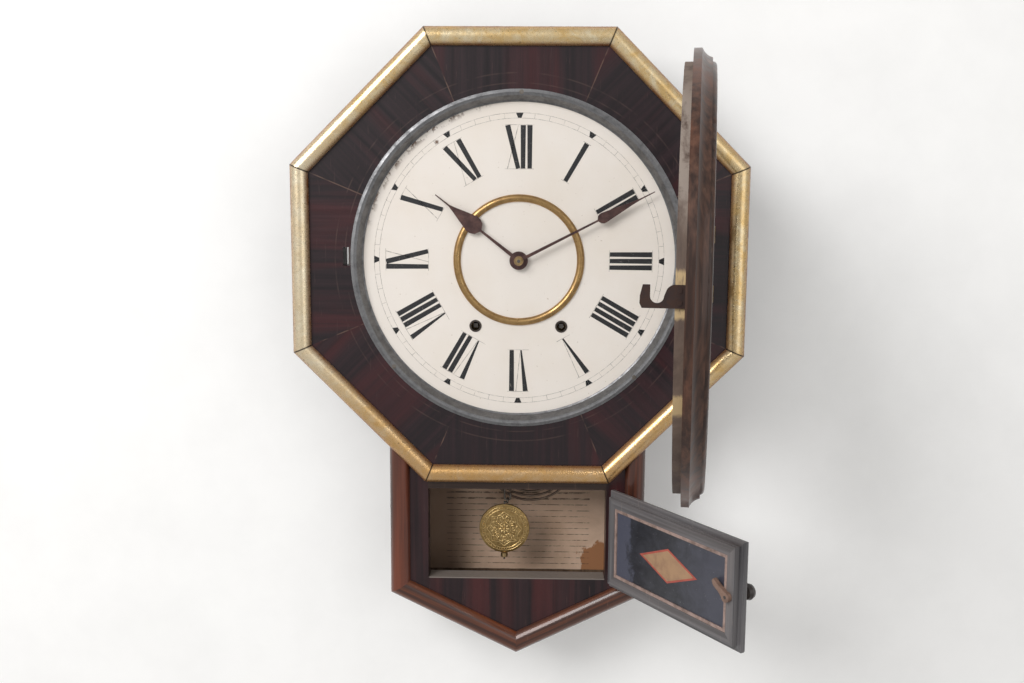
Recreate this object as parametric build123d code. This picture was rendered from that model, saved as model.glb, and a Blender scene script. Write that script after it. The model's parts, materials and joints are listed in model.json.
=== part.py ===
from build123d import *
import math
import os

# Octagonal drop-dial wall clock, both doors standing open, in millimetres.
# X is to the right, Y goes into the wall and Z is up. The origin is on the back
# face that rests on the wall, behind the centre of the dial.
# A depth is a distance out from the wall, so a point at depth d has y = -d.

# The dial that the clock is built round
dial_visible_radius = 152.4

# Octagon front
octagon_border = 68.35
octagon_width = 2 * (dial_visible_radius + octagon_border)
octagon_thickness = 25.0
octagon_opening_radius = dial_visible_radius + 7.6
gilt_width = 17.5
gilt_height = 8.5
gilt_edge = 2.2

# Case
backboard_thickness = 8.0
case_board_thickness = 10.0
case_depth = 70.0
case_half_width = 127.5
case_top_set_down = 50.75
drop_side_height = 117.25
drop_point_height = 63.0
case_top_z = octagon_width / 2 - case_top_set_down
drop_top_z = -octagon_width / 2
drop_corner_z = drop_top_z - drop_side_height
drop_tip_z = drop_corner_z - drop_point_height

# Drop front below the octagon
drop_thickness = 20.0
drop_stile_width = 38.0
drop_rail_height = 8.75
drop_opening_height = 92.8
drop_opening_half_width = case_half_width - drop_stile_width
drop_opening_top_z = drop_top_z - drop_rail_height
drop_opening_bottom_z = drop_opening_top_z - drop_opening_height
drop_moulding_width = 19.6
drop_moulding_height = 8.0
drop_moulding_edge = 1.5

# Dial
dial_recess = 9.8
dial_thickness = 0.8
surround_outer_radius = dial_visible_radius + 11.2
surround_step_radius = dial_visible_radius + 5.4
surround_sheet = 1.2
surround_bead_height = 1.2
surround_screw_rise = 0.2
dial_ring_outer_radius = 64.2
dial_ring_width = 7.3
dial_ring_height = 3.4
winding_x = 42.3
winding_z = -65.0
winding_hole_radius = 5.2
surround_screw_angles = (89.4, 220.6, 315.2)
surround_screw_radius = dial_visible_radius + 8.3

# Hands
hand_thickness = 1.0
hand_hub_radius = 9.0
hour_hand_length = 0.676 * dial_visible_radius
minute_hand_length = 0.964 * dial_visible_radius
hour_leaf_start = 0.308 * dial_visible_radius
hour_leaf_widest = 0.381 * dial_visible_radius
hour_leaf_end = 0.564 * dial_visible_radius
hour_half_leaf = 8.8
minute_leaf_start = 0.564 * dial_visible_radius
minute_leaf_widest = 0.604 * dial_visible_radius
minute_leaf_end = 0.860 * dial_visible_radius
minute_half_leaf = 5.2
hour_hand_angle = 307.9
minute_hand_angle = 62.7
hour_hand_lift = 4.2
minute_hand_lift = 8.0
hour_pipe_outer_radius = 3.3
hand_nut_radius = 4.6
hand_nut_height = 4.0

# Movement
plate_thickness = 1.6
movement_foot_height = 4.0
movement_gap = 33.8
plate_half_width = 74.0
plate_top_z = 36.0
plate_bottom_z = -108.0
pillar_radius = 3.0
pillar_inset = 8.0
arbor_radius = 2.0
hand_arbor_radius = 1.6
stud_radius = 1.5
pivot_radius = 1.2
winding_arbor_radius = 3.0
winding_square = 4.2
winding_end_gap = 4.0
winding_square_start = 12.0
great_wheel_setback = 8.0
centre_wheel_radius = 16.0
centre_wheel_lift = 16.0
hour_wheel_lift = 11.0
stud_height = 16.0
great_wheel_teeth = 72
great_wheel_module = 0.8
mainspring_radius = 26.0
mainspring_width = 18.0
pendulum_x = -13.4
suspension_z = 22.0
verge_z = 6.0
escape_wheel_z = -18.0
escape_wheel_radius = 11.0
escape_wheel_teeth = 42
pallet_gap = 2.1
crutch_length = 36.0
cannon_teeth = 12
minute_wheel_teeth = 36
minute_pinion_teeth = 10
hour_wheel_teeth = 40
motion_centre_distance = 19.2

# Pendulum
pendulum_depth = 55.0
rod_radius = 1.0
bob_wire_radius = 0.9
eye_radius = 2.4
bob_radius = 26.2
bob_thickness = 8.0
bob_z = drop_opening_top_z - 51.5
rating_nut_z = bob_z - 28.5

# Gong and hammer
gong_x = 12.0
gong_z = drop_opening_top_z + 20.5
gong_depth = 35.0
gong_wire_radius = 1.15
gong_pitch = 4.7
gong_turns = 7
gong_inner_radius = 18.0
gong_base_size = (24.0, 34.0, 3.0)
gong_block_size = 16.0
gong_post_radius = 5.5
hammer_pivot = (52.0, -99.0)
hammer_head_radius = 5.0
hammer_head_length = 14.0
hammer_gap = 2.3

# Dial door, sized when closed and then turned open about its pin
dial_door_open = 81.5
dial_door_radius = dial_visible_radius + 23.1
dial_door_band = 6.0
dial_door_bead = 3.2
dial_door_thickness = 17.0
dial_door_lip_radius = dial_visible_radius + 16.1
dial_door_sight_radius = dial_visible_radius - 0.4
dial_door_back_radius = dial_visible_radius + 13.1
dial_door_back_thickness = 6.4
dial_door_gap = 0.4
dial_glass_radius = dial_visible_radius + 4.1
dial_glass_thickness = 2.4
dial_pin_x = dial_door_radius + 6.7
dial_pin_ahead = 3.4
dial_hinge_z = 28.0
dial_hinge_length = 16.0
dial_hinge_flat_x = dial_door_radius - 2.0

# Catch of the dial door
catch_z = 3.3
catch_plate_thickness = 2.0
catch_reach = 28.7
catch_height = 15.0
catch_slot_width = 5.6
catch_slot_height = 18.0
keeper_thickness = 0.8

# Lower door, sized when closed and then turned open about its pin
lower_door_open = 123.0
lower_door_gap = 0.5
lower_door_body = 5.9
lower_door_lip = 6.0
lower_door_overlap = 5.1
lower_door_height = 88.8
lower_frame_width = 12.8
tablet_thickness = 2.2
tablet_rebate = 3.6
lower_pin_clear = 2.3
lower_hinge_length = 18.0
lower_hinge_leaf = 9.0
lower_hinge_z = (drop_opening_top_z - 20.5, drop_opening_top_z - 72.5)
latch_z = drop_opening_top_z - 47.5
latch_inset = 6.5
latch_shaft_radius = 1.6
knob_radius = 7.5
turn_button_length = 24.0
turn_button_width = 9.0
turn_button_thickness = 4.0
turn_button_angle = 55.0

# Hanger and label
hanger_z = case_top_z - 40.0
hanger_size = (44.0, 26.0)
hanger_thickness = 2.0
hanger_hole_radius = 4.0
label_half_width = drop_opening_half_width + 6.5
label_top_z = drop_opening_top_z - 0.5
label_bottom_z = drop_opening_bottom_z - 19.7
label_thickness = 0.3

# Fits
running_fit = 0.05
seat_gap = 0.3

# Places that follow from the sizes above
veneer_depth = case_depth + octagon_thickness
drop_face_depth = case_depth + drop_thickness
dial_depth = veneer_depth - dial_recess
half_octagon = octagon_width / 2
half_side = half_octagon * math.tan(math.pi / 8)
case_inner_half_width = case_half_width - case_board_thickness
drop_slope = (drop_corner_z - drop_tip_z) / case_half_width
slope_length = math.hypot(1.0, drop_slope)
back_plate_depth = backboard_thickness + movement_foot_height
between_plates = back_plate_depth + plate_thickness
front_plate_depth = between_plates + movement_gap
plate_face_depth = front_plate_depth + plate_thickness
closed_door_depth = veneer_depth + surround_sheet + dial_door_gap
rim_depth = closed_door_depth + dial_door_back_thickness
door_front_depth = rim_depth + dial_door_thickness
dial_pin_depth = door_front_depth + dial_pin_ahead
lower_door_half_width = drop_opening_half_width - lower_door_gap
lower_inner_depth = drop_face_depth - lower_door_body
lower_front_depth = drop_face_depth + lower_door_lip
lower_door_top_z = (drop_opening_top_z + drop_opening_bottom_z + lower_door_height) / 2
lower_door_bottom_z = lower_door_top_z - lower_door_height
lower_pin_x = lower_door_half_width + lower_door_overlap + lower_pin_clear
lower_pin_depth = lower_front_depth - 1.0


def slab(points, near, far):
    """Flat piece with an outline in X and Z, between two depths."""
    face = make_face(Polyline(*points, close=True))
    return extrude(Plane.XZ.offset(near) * face, amount=far - near)


def disc(radius, near, far, x=0.0, z=0.0):
    """Round piece on an axis square to the wall."""
    return extrude(Plane.XZ.offset(near) * Pos(x, z) * Circle(radius), amount=far - near)


def block(x0, x1, near, far, z0, z1):
    """Rectangular piece from its limits."""
    size = Box(x1 - x0, far - near, z1 - z0)
    return Pos((x0 + x1) / 2, -(near + far) / 2, (z0 + z1) / 2) * size


def rod(start, end, radius):
    """Straight round bar between two points given as x, depth, z."""
    a = Vector(start[0], -start[1], start[2])
    b = Vector(end[0], -end[1], end[2])
    plane = Plane(origin=a, z_dir=b - a)
    return extrude(plane * Circle(radius), amount=(b - a).length)


def lathe(points, x=0.0, z=0.0):
    """Turned piece from radius and depth pairs, on an axis square to the wall."""
    face = make_face(Polyline(*[(r, -d) for r, d in points], close=True))
    return Pos(x, 0, z) * revolve(face, Axis.Y)


def group(pieces):
    """Several separate solids that share one name."""
    solids = []
    for piece in pieces:
        solids.extend(piece.solids())
    return Compound(children=solids)


def drop_line(x, inset=0.0):
    """Height of the sloping lower edge at x, moved inwards by inset."""
    return drop_tip_z + drop_slope * abs(x) + inset * slope_length


def gear(teeth, module, near, far, x=0.0, z=0.0, phase=0.0):
    """Wheel with narrow pointed-sided teeth that leave room to run in mesh."""
    pitch_radius = teeth * module / 2
    tip = pitch_radius + 0.75 * module
    root = pitch_radius - 1.15 * module
    step = 2 * math.pi / teeth
    points = []
    for k in range(teeth):
        middle = k * step + phase
        for share, radius in ((-0.30, root), (-0.10, tip), (0.10, tip), (0.30, root)):
            angle = middle + share * step
            points.append((x + radius * math.cos(angle), z + radius * math.sin(angle)))
    return slab(points, near, far)


def open_dial_door(shape):
    """Turn a piece of the dial door from closed to open."""
    axis = Axis((dial_pin_x, -dial_pin_depth, 0), (0, 0, 1))
    return shape.rotate(axis, dial_door_open)


def open_lower_door(shape):
    """Turn a piece of the lower door from closed to open."""
    axis = Axis((lower_pin_x, -lower_pin_depth, 0), (0, 0, 1))
    return shape.rotate(axis, lower_door_open)


def make_case():
    """Backboard, sides, top and the two sloping bottom boards."""
    w = case_half_width
    v = case_inner_half_width
    t = case_board_thickness
    inner_corner = drop_line(v, t)
    inner_tip = drop_line(0, t)
    parts = {}
    under_top = case_top_z - t
    outline = [(-v, under_top), (v, under_top), (v, inner_corner), (0, inner_tip), (-v, inner_corner)]
    backboard = slab(outline, 0, backboard_thickness)
    hx, hz = hanger_size
    backboard -= block(-hx / 2, hx / 2, 0, hanger_thickness, hanger_z - hz / 2, hanger_z + hz / 2)
    backboard -= disc(2 * hanger_hole_radius, 0, backboard_thickness, 0, hanger_z)
    parts["backboard"] = backboard
    parts["case_top"] = block(-v, v, 0, case_depth, case_top_z - t, case_top_z)
    bottoms = []
    for name, side in (("left", -1), ("right", 1)):
        board = [
            (side * w, case_top_z),
            (side * v, case_top_z),
            (side * v, inner_corner),
            (side * w, drop_corner_z),
        ]
        parts["case_side_" + name] = slab(board, 0, case_depth)
        bottom = [(side * w, drop_corner_z), (side * v, inner_corner), (0, inner_tip), (0, drop_tip_z)]
        bottoms.append(slab(bottom, 0, case_depth))
    parts["case_bottom_boards"] = group(bottoms)
    return parts


def slot_limits():
    """Left and right edges of the catch slot, which clears the hook as it swings in."""
    right = -dial_door_back_radius + 0.1
    return right - catch_slot_width, right


def make_octagon():
    """Eight mitred segments with the catch slot, and eight mitred gilt mouldings."""
    sector = [(0, 0), (-half_side, half_octagon), (half_side, half_octagon)]
    segment = slab(sector, case_depth, veneer_depth)
    segment -= disc(octagon_opening_radius, case_depth, veneer_depth)
    r = gilt_width / 2
    start = half_octagon
    profile = Curve() + [
        Line((start, veneer_depth), (start, veneer_depth + gilt_edge)),
        ThreePointArc(
            (start, veneer_depth + gilt_edge),
            (start - r, veneer_depth + gilt_height),
            (start - gilt_width, veneer_depth + gilt_edge),
        ),
        Line((start - gilt_width, veneer_depth + gilt_edge), (start - gilt_width, veneer_depth)),
        Line((start - gilt_width, veneer_depth), (start, veneer_depth)),
    ]
    section = Plane(origin=(-half_side, 0, 0), x_dir=(0, 0, 1), z_dir=(1, 0, 0)) * make_face(profile)
    moulding = extrude(section, amount=2 * half_side)
    moulding = moulding & slab(sector, veneer_depth, veneer_depth + gilt_height)
    segments = []
    mouldings = []
    for k in range(8):
        segments.append(segment.rotate(Axis.Y, 45.0 * k))
        mouldings.append(moulding.rotate(Axis.Y, 45.0 * k))
    left, right = slot_limits()
    z0 = catch_z - catch_slot_height / 2
    cutter = block(left, right + keeper_thickness, case_depth, veneer_depth, z0, z0 + catch_slot_height)
    segments = [piece - cutter for piece in segments]
    keeper = block(right, right + keeper_thickness, case_depth + 5, veneer_depth, z0, z0 + catch_slot_height)
    return {"octagon_segments": group(segments), "gilt_mouldings": group(mouldings), "catch_keeper": keeper}


def bar_moulding(length, width, height, edge):
    """Half-round moulding along X, with its back at y = 0 and its outer edge at z = 0."""
    profile = Curve() + [
        Line((0, 0), (0, edge)),
        ThreePointArc((0, edge), (width / 2, height), (width, edge)),
        Line((width, edge), (width, 0)),
        Line((width, 0), (0, 0)),
    ]
    section = Plane(origin=(-length / 2, 0, 0), x_dir=(0, 0, 1), z_dir=(1, 0, 0)) * make_face(profile)
    return extrude(section, amount=length)


def make_drop_front():
    """Stiles, top rail and pointed apron, with half-round mouldings round the edge."""
    w = case_half_width
    a = drop_opening_half_width
    top = drop_opening_top_z
    low = drop_opening_bottom_z
    edge_z = -(half_octagon + half_side - w)
    mitre_x = (low + a - drop_tip_z) / (1 + drop_slope)
    mitre_z = drop_line(mitre_x)
    parts = {}
    parts["drop_top_rail"] = slab(
        [(-a, top), (-a, -half_octagon), (a, -half_octagon), (a, top)], case_depth, drop_face_depth
    )
    apron = [(-a, low), (-mitre_x, mitre_z), (0, drop_tip_z), (mitre_x, mitre_z), (a, low)]
    parts["drop_apron"] = slab(apron, case_depth, drop_face_depth)
    m = drop_moulding_width
    inner_z = drop_line(w - m, m)
    reach = drop_moulding_height
    for name, side in (("left", -1), ("right", 1)):
        stile = [
            (side * a, -half_octagon),
            (side * half_side, -half_octagon),
            (side * w, edge_z),
            (side * w, drop_corner_z),
            (side * mitre_x, mitre_z),
            (side * a, low),
        ]
        piece = slab(stile, case_depth, drop_face_depth)
        if side < 0:
            depth = lower_inner_depth - turn_button_thickness - 1.0
            piece -= block(-a - 16, -a, depth, lower_inner_depth, latch_z - 7, latch_z + 21)
        parts["drop_stile_" + name] = piece
        bar = bar_moulding(octagon_width, m, drop_moulding_height, drop_moulding_edge)
        upright = bar.rotate(Axis.Y, -90 * side)
        upright = Pos(side * w, -drop_face_depth, drop_opening_bottom_z) * upright
        shape = [
            (side * w, edge_z),
            (side * (w - m), edge_z - m),
            (side * (w - m), inner_z),
            (side * w, drop_corner_z),
        ]
        upright = upright & slab(shape, drop_face_depth, drop_face_depth + reach)
        parts["drop_moulding_" + name] = upright
        angle = math.degrees(math.atan(drop_slope))
        lower = bar.rotate(Axis.Y, -side * angle)
        lower = Pos(side * w / 2, -drop_face_depth, (drop_corner_z + drop_tip_z) / 2) * lower
        shape = [
            (side * w, drop_corner_z),
            (side * (w - m), inner_z),
            (0, drop_line(0, m)),
            (0, drop_tip_z),
        ]
        lower = lower & slab(shape, drop_face_depth, drop_face_depth + reach)
        parts["drop_moulding_lower_" + name] = lower
    return parts


def make_dial():
    """Painted dial, pewter surround with its screws, and the brass ring on the dial."""
    parts = {}
    back = dial_depth - dial_thickness
    plate = disc(surround_outer_radius - 4.6, back, dial_depth)
    plate -= disc(hour_pipe_outer_radius + 0.7, back, dial_depth)
    for side in (-1, 1):
        plate -= disc(winding_hole_radius, back, dial_depth, side * winding_x, winding_z)
    parts["dial_plate"] = plate
    t = surround_sheet
    top = veneer_depth + surround_bead_height
    outer = surround_outer_radius
    step = surround_step_radius
    inner = dial_visible_radius
    surround = lathe(
        [
            (outer, veneer_depth),
            (outer, veneer_depth + t / 2),
            (outer - 1.2, top - 0.4),
            (outer - 2.9, top),
            (step + 1.2, top - 0.4),
            (step, veneer_depth + t / 2),
            (inner + 1.4, dial_depth + t + 0.8),
            (inner, dial_depth + t),
            (inner, dial_depth),
            (inner + 2.6, dial_depth),
            (step + t, veneer_depth - 1.0),
            (step + t, veneer_depth),
        ]
    )
    screws = []
    for angle in surround_screw_angles:
        x = surround_screw_radius * math.cos(math.radians(angle))
        z = surround_screw_radius * math.sin(math.radians(angle))
        surround -= disc(1.3, veneer_depth - 2, top + 1, x, z)
        head = disc(2.2, top, top + surround_screw_rise, x, z)
        shank = disc(1.2, veneer_depth, top, x, z)
        screws.append(head + shank)
    parts["dial_surround"] = surround
    parts["surround_screws"] = group(screws)
    r = dial_ring_outer_radius
    w = dial_ring_width
    arc = ThreePointArc((r, -dial_depth), (r - w / 2, -dial_depth - dial_ring_height), (r - w, -dial_depth))
    face = make_face(arc + Line((r - w, -dial_depth), (r, -dial_depth)))
    parts["dial_ring"] = revolve(face, Axis.Y)
    return parts


def hand_outline(length, leaf_start, leaf_widest, leaf_end, half_leaf, stem_hub, stem_leaf, tip):
    """Half outline of a leaf hand that points up, from the hub to the tip."""
    return [
        (stem_hub, hand_hub_radius * 0.5),
        (stem_leaf, leaf_start),
        (half_leaf * 0.72, leaf_start + half_leaf * 0.32),
        (half_leaf * 0.97, leaf_start + half_leaf * 0.80),
        (half_leaf, leaf_widest),
        (half_leaf * 0.62, leaf_widest + (leaf_end - leaf_widest) * 0.42),
        (half_leaf * 0.30, leaf_widest + (leaf_end - leaf_widest) * 0.75),
        (tip * 1.6, leaf_end),
        (tip, length),
    ]


def make_hand(half, angle, near, hub_radius, bore):
    """Flat hand with a round hub, turned clockwise from twelve by angle."""
    right = half
    left = [(-x, z) for x, z in reversed(half)]
    blade = slab(right + left, near, near + hand_thickness)
    hand = blade + disc(hub_radius, near, near + hand_thickness)
    hand -= disc(bore, near - 1, near + hand_thickness + 1)
    return hand.rotate(Axis.Y, angle)


def make_hands():
    """Hour hand on its pipe, minute hand and its nut on the centre arbor."""
    parts = {}
    hour_near = dial_depth + hour_hand_lift
    minute_near = dial_depth + minute_hand_lift
    hour_leaf = (hour_leaf_start, hour_leaf_widest, hour_leaf_end)
    minute_leaf = (minute_leaf_start, minute_leaf_widest, minute_leaf_end)
    hour = hand_outline(hour_hand_length, *hour_leaf, hour_half_leaf, 1.8, 1.1, 0.5)
    minute = hand_outline(minute_hand_length, *minute_leaf, minute_half_leaf, 1.6, 0.9, 0.45)
    hour_bore = hour_pipe_outer_radius
    minute_hub = hand_hub_radius * 0.62
    minute_bore = hand_arbor_radius
    parts["hour_hand"] = make_hand(hour, hour_hand_angle, hour_near, hand_hub_radius, hour_bore)
    parts["minute_hand"] = make_hand(minute, minute_hand_angle, minute_near, minute_hub, minute_bore)
    nut_near = minute_near + hand_thickness
    nut = lathe(
        [
            (hand_arbor_radius, nut_near),
            (hand_nut_radius, nut_near),
            (hand_nut_radius, nut_near + 1.4),
            (hand_nut_radius - 1.3, nut_near + hand_nut_height - 0.8),
            (hand_nut_radius - 2.2, nut_near + hand_nut_height),
            (hand_arbor_radius, nut_near + hand_nut_height),
        ]
    )
    parts["hand_nut"] = nut
    return parts


def make_movement():
    """Two plates on pillars, the arbors with their wheels, and the escapement."""
    parts = {}
    w = plate_half_width
    outline = [(-w, plate_bottom_z), (w, plate_bottom_z), (w, plate_top_z), (-w, plate_top_z)]
    inset = pillar_inset
    low = plate_bottom_z + inset
    high = plate_top_z - inset
    corners = [(-w + inset, low), (w - inset, low), (w - inset, high), (-w + inset, high)]
    feet_places = [(-w + 20, low - 1), (w - 37, low - 1), (w - 22, high + 1), (-w + 22, high + 1)]
    back = slab(outline, back_plate_depth, between_plates)
    front = slab(outline, front_plate_depth, plate_face_depth)
    pendulum = (pendulum_x, escape_wheel_z)
    pivots = [(0, 0, arbor_radius), (pendulum[0], pendulum[1], pivot_radius), (*hammer_pivot, pivot_radius)]
    pivots += [(side * winding_x, winding_z, winding_arbor_radius) for side in (-1, 1)]
    for x, z, radius in pivots:
        back -= disc(radius + running_fit, 0, between_plates, x, z)
        front -= disc(radius + running_fit, front_plate_depth, plate_face_depth, x, z)
    pillars = []
    for x, z in corners:
        pillars.append(disc(pillar_radius, between_plates, front_plate_depth, x, z))
    feet = []
    for x, z in feet_places:
        back -= disc(2.2, back_plate_depth, between_plates, x, z)
        foot = disc(4.5, backboard_thickness, back_plate_depth, x, z)
        foot += disc(2.1, back_plate_depth, between_plates, x, z)
        foot += disc(3.8, between_plates, between_plates + 1.4, x, z)
        feet.append(foot)
    stud_end = plate_face_depth + stud_height
    studs = disc(stud_radius, front_plate_depth, stud_end, motion_centre_distance, 0)
    studs += disc(pivot_radius, front_plate_depth, plate_face_depth + 4.4, pendulum_x, verge_z)
    parts["movement_back_plate"] = back
    parts["movement_front_plate"] = front + studs
    parts["movement_pillars"] = group(pillars)
    parts["movement_feet"] = group(feet)

    post = disc(3.2, plate_face_depth, pendulum_depth + 3.4, pendulum_x, suspension_z)
    slit_near = pendulum_depth - 2.6
    slit_far = pendulum_depth + 4
    slit_low = suspension_z - 4
    post -= block(pendulum_x - 0.7, pendulum_x + 0.7, slit_near, slit_far, slit_low, suspension_z + 1)
    parts["suspension_post"] = post

    springs = []
    for name, side in (("left", -1), ("right", 1)):
        x = side * winding_x
        half = winding_square / 2
        square = plate_face_depth + winding_square_start
        end = dial_depth - dial_thickness - winding_end_gap
        arbor = disc(winding_arbor_radius, back_plate_depth, square, x, winding_z)
        arbor += block(x - half, x + half, square, end, winding_z - half, winding_z + half)
        wheel_near = front_plate_depth - great_wheel_setback
        arbor += gear(great_wheel_teeth, great_wheel_module, wheel_near, wheel_near + 2, x, winding_z)
        parts["winding_arbor_" + name] = arbor
        spring_near = between_plates + 4
        spring_far = spring_near + mainspring_width
        spring = disc(mainspring_radius, spring_near, spring_far, x, winding_z)
        post_x = side * (w - inset)
        post_z = low
        away = math.hypot(post_x - x, post_z - winding_z)
        out_x = (post_x - x) / away
        out_z = (post_z - winding_z) / away
        strap = [
            (x + out_x * 20 + out_z * 0.8, winding_z + out_z * 20 - out_x * 0.8),
            (post_x + out_z * 0.8, post_z - out_x * 0.8),
            (post_x - out_z * 0.8, post_z + out_x * 0.8),
            (x + out_x * 20 - out_z * 0.8, winding_z + out_z * 20 + out_x * 0.8),
        ]
        spring += slab(strap, spring_near, spring_far)
        spring += disc(pillar_radius + 1.0, spring_near, spring_far, post_x, post_z)
        spring -= disc(pillar_radius, spring_near, spring_far, post_x, post_z)
        spring -= disc(winding_arbor_radius + seat_gap, spring_near, spring_far, x, winding_z)
        springs.append(spring)
    parts["mainsprings"] = group(springs)

    cannon_near = plate_face_depth + 3.0
    cannon_module = 2 * motion_centre_distance / (cannon_teeth + minute_wheel_teeth)
    hour_module = 2 * motion_centre_distance / (minute_pinion_teeth + hour_wheel_teeth)
    hour_wheel_near = plate_face_depth + hour_wheel_lift
    minute_near = dial_depth + minute_hand_lift
    arbor = disc(arbor_radius, back_plate_depth, cannon_near, 0, 0)
    wheel_depth = between_plates + centre_wheel_lift
    arbor += disc(centre_wheel_radius, wheel_depth, wheel_depth + 1.4)
    arbor += gear(cannon_teeth, cannon_module, cannon_near, cannon_near + 4.0)
    arbor_end = minute_near + hand_thickness + hand_nut_height + 1.0
    arbor += disc(hand_arbor_radius, cannon_near, arbor_end)
    parts["centre_arbor"] = arbor
    phase = math.pi + math.pi / minute_wheel_teeth
    stud_x = motion_centre_distance
    pinion_near = cannon_near + 2.6
    pinion_far = hour_wheel_near + 2.5
    wheel = gear(minute_wheel_teeth, cannon_module, cannon_near + 1, pinion_near, stud_x, 0, phase)
    wheel += gear(minute_pinion_teeth, hour_module, pinion_near, pinion_far, stud_x, 0, math.pi)
    wheel -= disc(stud_radius + running_fit, cannon_near, hour_wheel_near + 4, stud_x, 0)
    parts["minute_wheel"] = wheel
    phase = math.pi / hour_wheel_teeth
    pipe_end = dial_depth + hour_hand_lift + hand_thickness
    pipe = gear(hour_wheel_teeth, hour_module, hour_wheel_near, hour_wheel_near + 1.6, phase=phase)
    pipe += disc(hour_pipe_outer_radius, hour_wheel_near, pipe_end)
    pipe -= disc(hand_arbor_radius + running_fit, hour_wheel_near - 1, pipe_end + 1)
    parts["hour_pipe"] = pipe

    wheel_near = plate_face_depth + 1.0
    root = escape_wheel_radius - 2.0
    tooth = ((0.0, escape_wheel_radius), (0.35, root), (0.95, root))
    points = []
    for k in range(escape_wheel_teeth):
        for share, radius in tooth:
            angle = 2 * math.pi * (k + share) / escape_wheel_teeth
            x = pendulum_x + radius * math.cos(angle)
            points.append((x, escape_wheel_z + radius * math.sin(angle)))
    escape = slab(points, wheel_near, wheel_near + 1.0)
    escape += disc(pivot_radius, back_plate_depth, wheel_near + 1.5, pendulum_x, escape_wheel_z)
    escape += disc(3.0, between_plates + 6, between_plates + 14, pendulum_x, escape_wheel_z)
    parts["escape_wheel"] = escape

    hub_near = plate_face_depth + 0.6
    verge = disc(2.6, hub_near, hub_near + 3.6, pendulum_x, verge_z)
    reach = escape_wheel_radius + pallet_gap
    for side in (-1, 1):
        tip_x = pendulum_x + side * reach * math.sin(math.radians(42))
        tip_z = escape_wheel_z + reach * math.cos(math.radians(42))
        arm = [
            (pendulum_x, verge_z - 1.0),
            (tip_x, tip_z + 1.2),
            (tip_x + side * 1.4, tip_z),
            (tip_x + side * 1.4, tip_z + 4.5),
            (pendulum_x, verge_z + 1.8),
        ]
        if side < 0:
            arm = list(reversed(arm))
        verge += slab(arm, wheel_near, wheel_near + 1.0)
    crutch_near = plate_face_depth + 2.8
    foot_z = verge_z - crutch_length
    verge += block(pendulum_x - 0.8, pendulum_x + 0.8, crutch_near, crutch_near + 1.0, foot_z - 1.5, verge_z)
    fork_far = pendulum_depth + 2.2
    slit = rod_radius + seat_gap
    x = pendulum_x
    fork = block(x - 3.3, x + 3.3, crutch_near, fork_far, foot_z - 1.5, foot_z + 1.5)
    fork -= block(x - slit, x + slit, crutch_near + 1.0, fork_far + 1, foot_z - 2, foot_z + 2)
    verge += fork
    verge -= disc(pivot_radius + running_fit, hub_near - 1, hub_near + 5, pendulum_x, verge_z)
    parts["verge"] = verge
    return parts


def make_pendulum():
    """Rod on its suspension spring, with a hook that carries the bob's wire."""
    parts = {}
    x = pendulum_x
    d = pendulum_depth
    eye_z = bob_z + bob_radius + 8.0
    top = suspension_z - 1.0
    strip = block(x - 0.2, x + 0.2, d - 2.0, d + 2.0, top - 12, top + 1.8)
    hook_radius = 3.0
    path = Polyline((x, -d, top - 11), (x, -d, eye_z - 1.0)) + ThreePointArc(
        (x, -d, eye_z - 1.0),
        (x + hook_radius, -d, eye_z - 1.0 - hook_radius),
        (x + 2 * hook_radius, -d, eye_z - 1.0),
    )
    path += Line((x + 2 * hook_radius, -d, eye_z - 1.0), (x + 2 * hook_radius, -d, eye_z + 3.5))
    wire = sweep(Plane(origin=(x, -d, top - 11), z_dir=(0, 0, -1)) * Circle(rod_radius), path=path)
    parts["pendulum_rod"] = strip + wire
    eye_x = x + hook_radius
    hook_low = eye_z - 1.0 - hook_radius
    eye_middle = hook_low + rod_radius + bob_wire_radius + 0.15 - eye_radius
    eye = Pos(eye_x, -d, eye_middle) * Rot(0, 90, 0) * Torus(eye_radius, bob_wire_radius)
    lift = eye_middle - eye_radius
    bend_z = bob_z + bob_radius + 1.6
    bend = Polyline((eye_x, -d, lift), (x, -d, bend_z), (x, -d, rating_nut_z - 5.0))
    start = Plane(origin=(eye_x, -d, lift), z_dir=(x - eye_x, 0, bend_z - lift))
    carrier = sweep(start * Circle(bob_wire_radius), path=bend, transition=Transition.RIGHT)
    parts["bob_wire"] = eye + carrier
    h = bob_thickness / 2
    bob = lathe(
        [
            (0, d - h),
            (bob_radius * 0.55, d - h * 0.9),
            (bob_radius - 0.9, d - h * 0.35),
            (bob_radius, d),
            (bob_radius - 0.4, d + h * 0.45),
            (bob_radius - 3.6, d + h * 0.62),
            (bob_radius * 0.55, d + h * 0.92),
            (0, d + h),
        ],
        x,
        bob_z,
    )
    bob -= rod((x, d, bob_z - bob_radius - 1), (x, d, bob_z + bob_radius + 1), 1.2)
    parts["pendulum_bob"] = bob
    nut = Pos(x, -d, rating_nut_z) * Cylinder(3.6, 4.0)
    nut -= Pos(x, -d, rating_nut_z) * Cylinder(1.0, 5.0)
    parts["rating_nut"] = nut
    return parts


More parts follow.
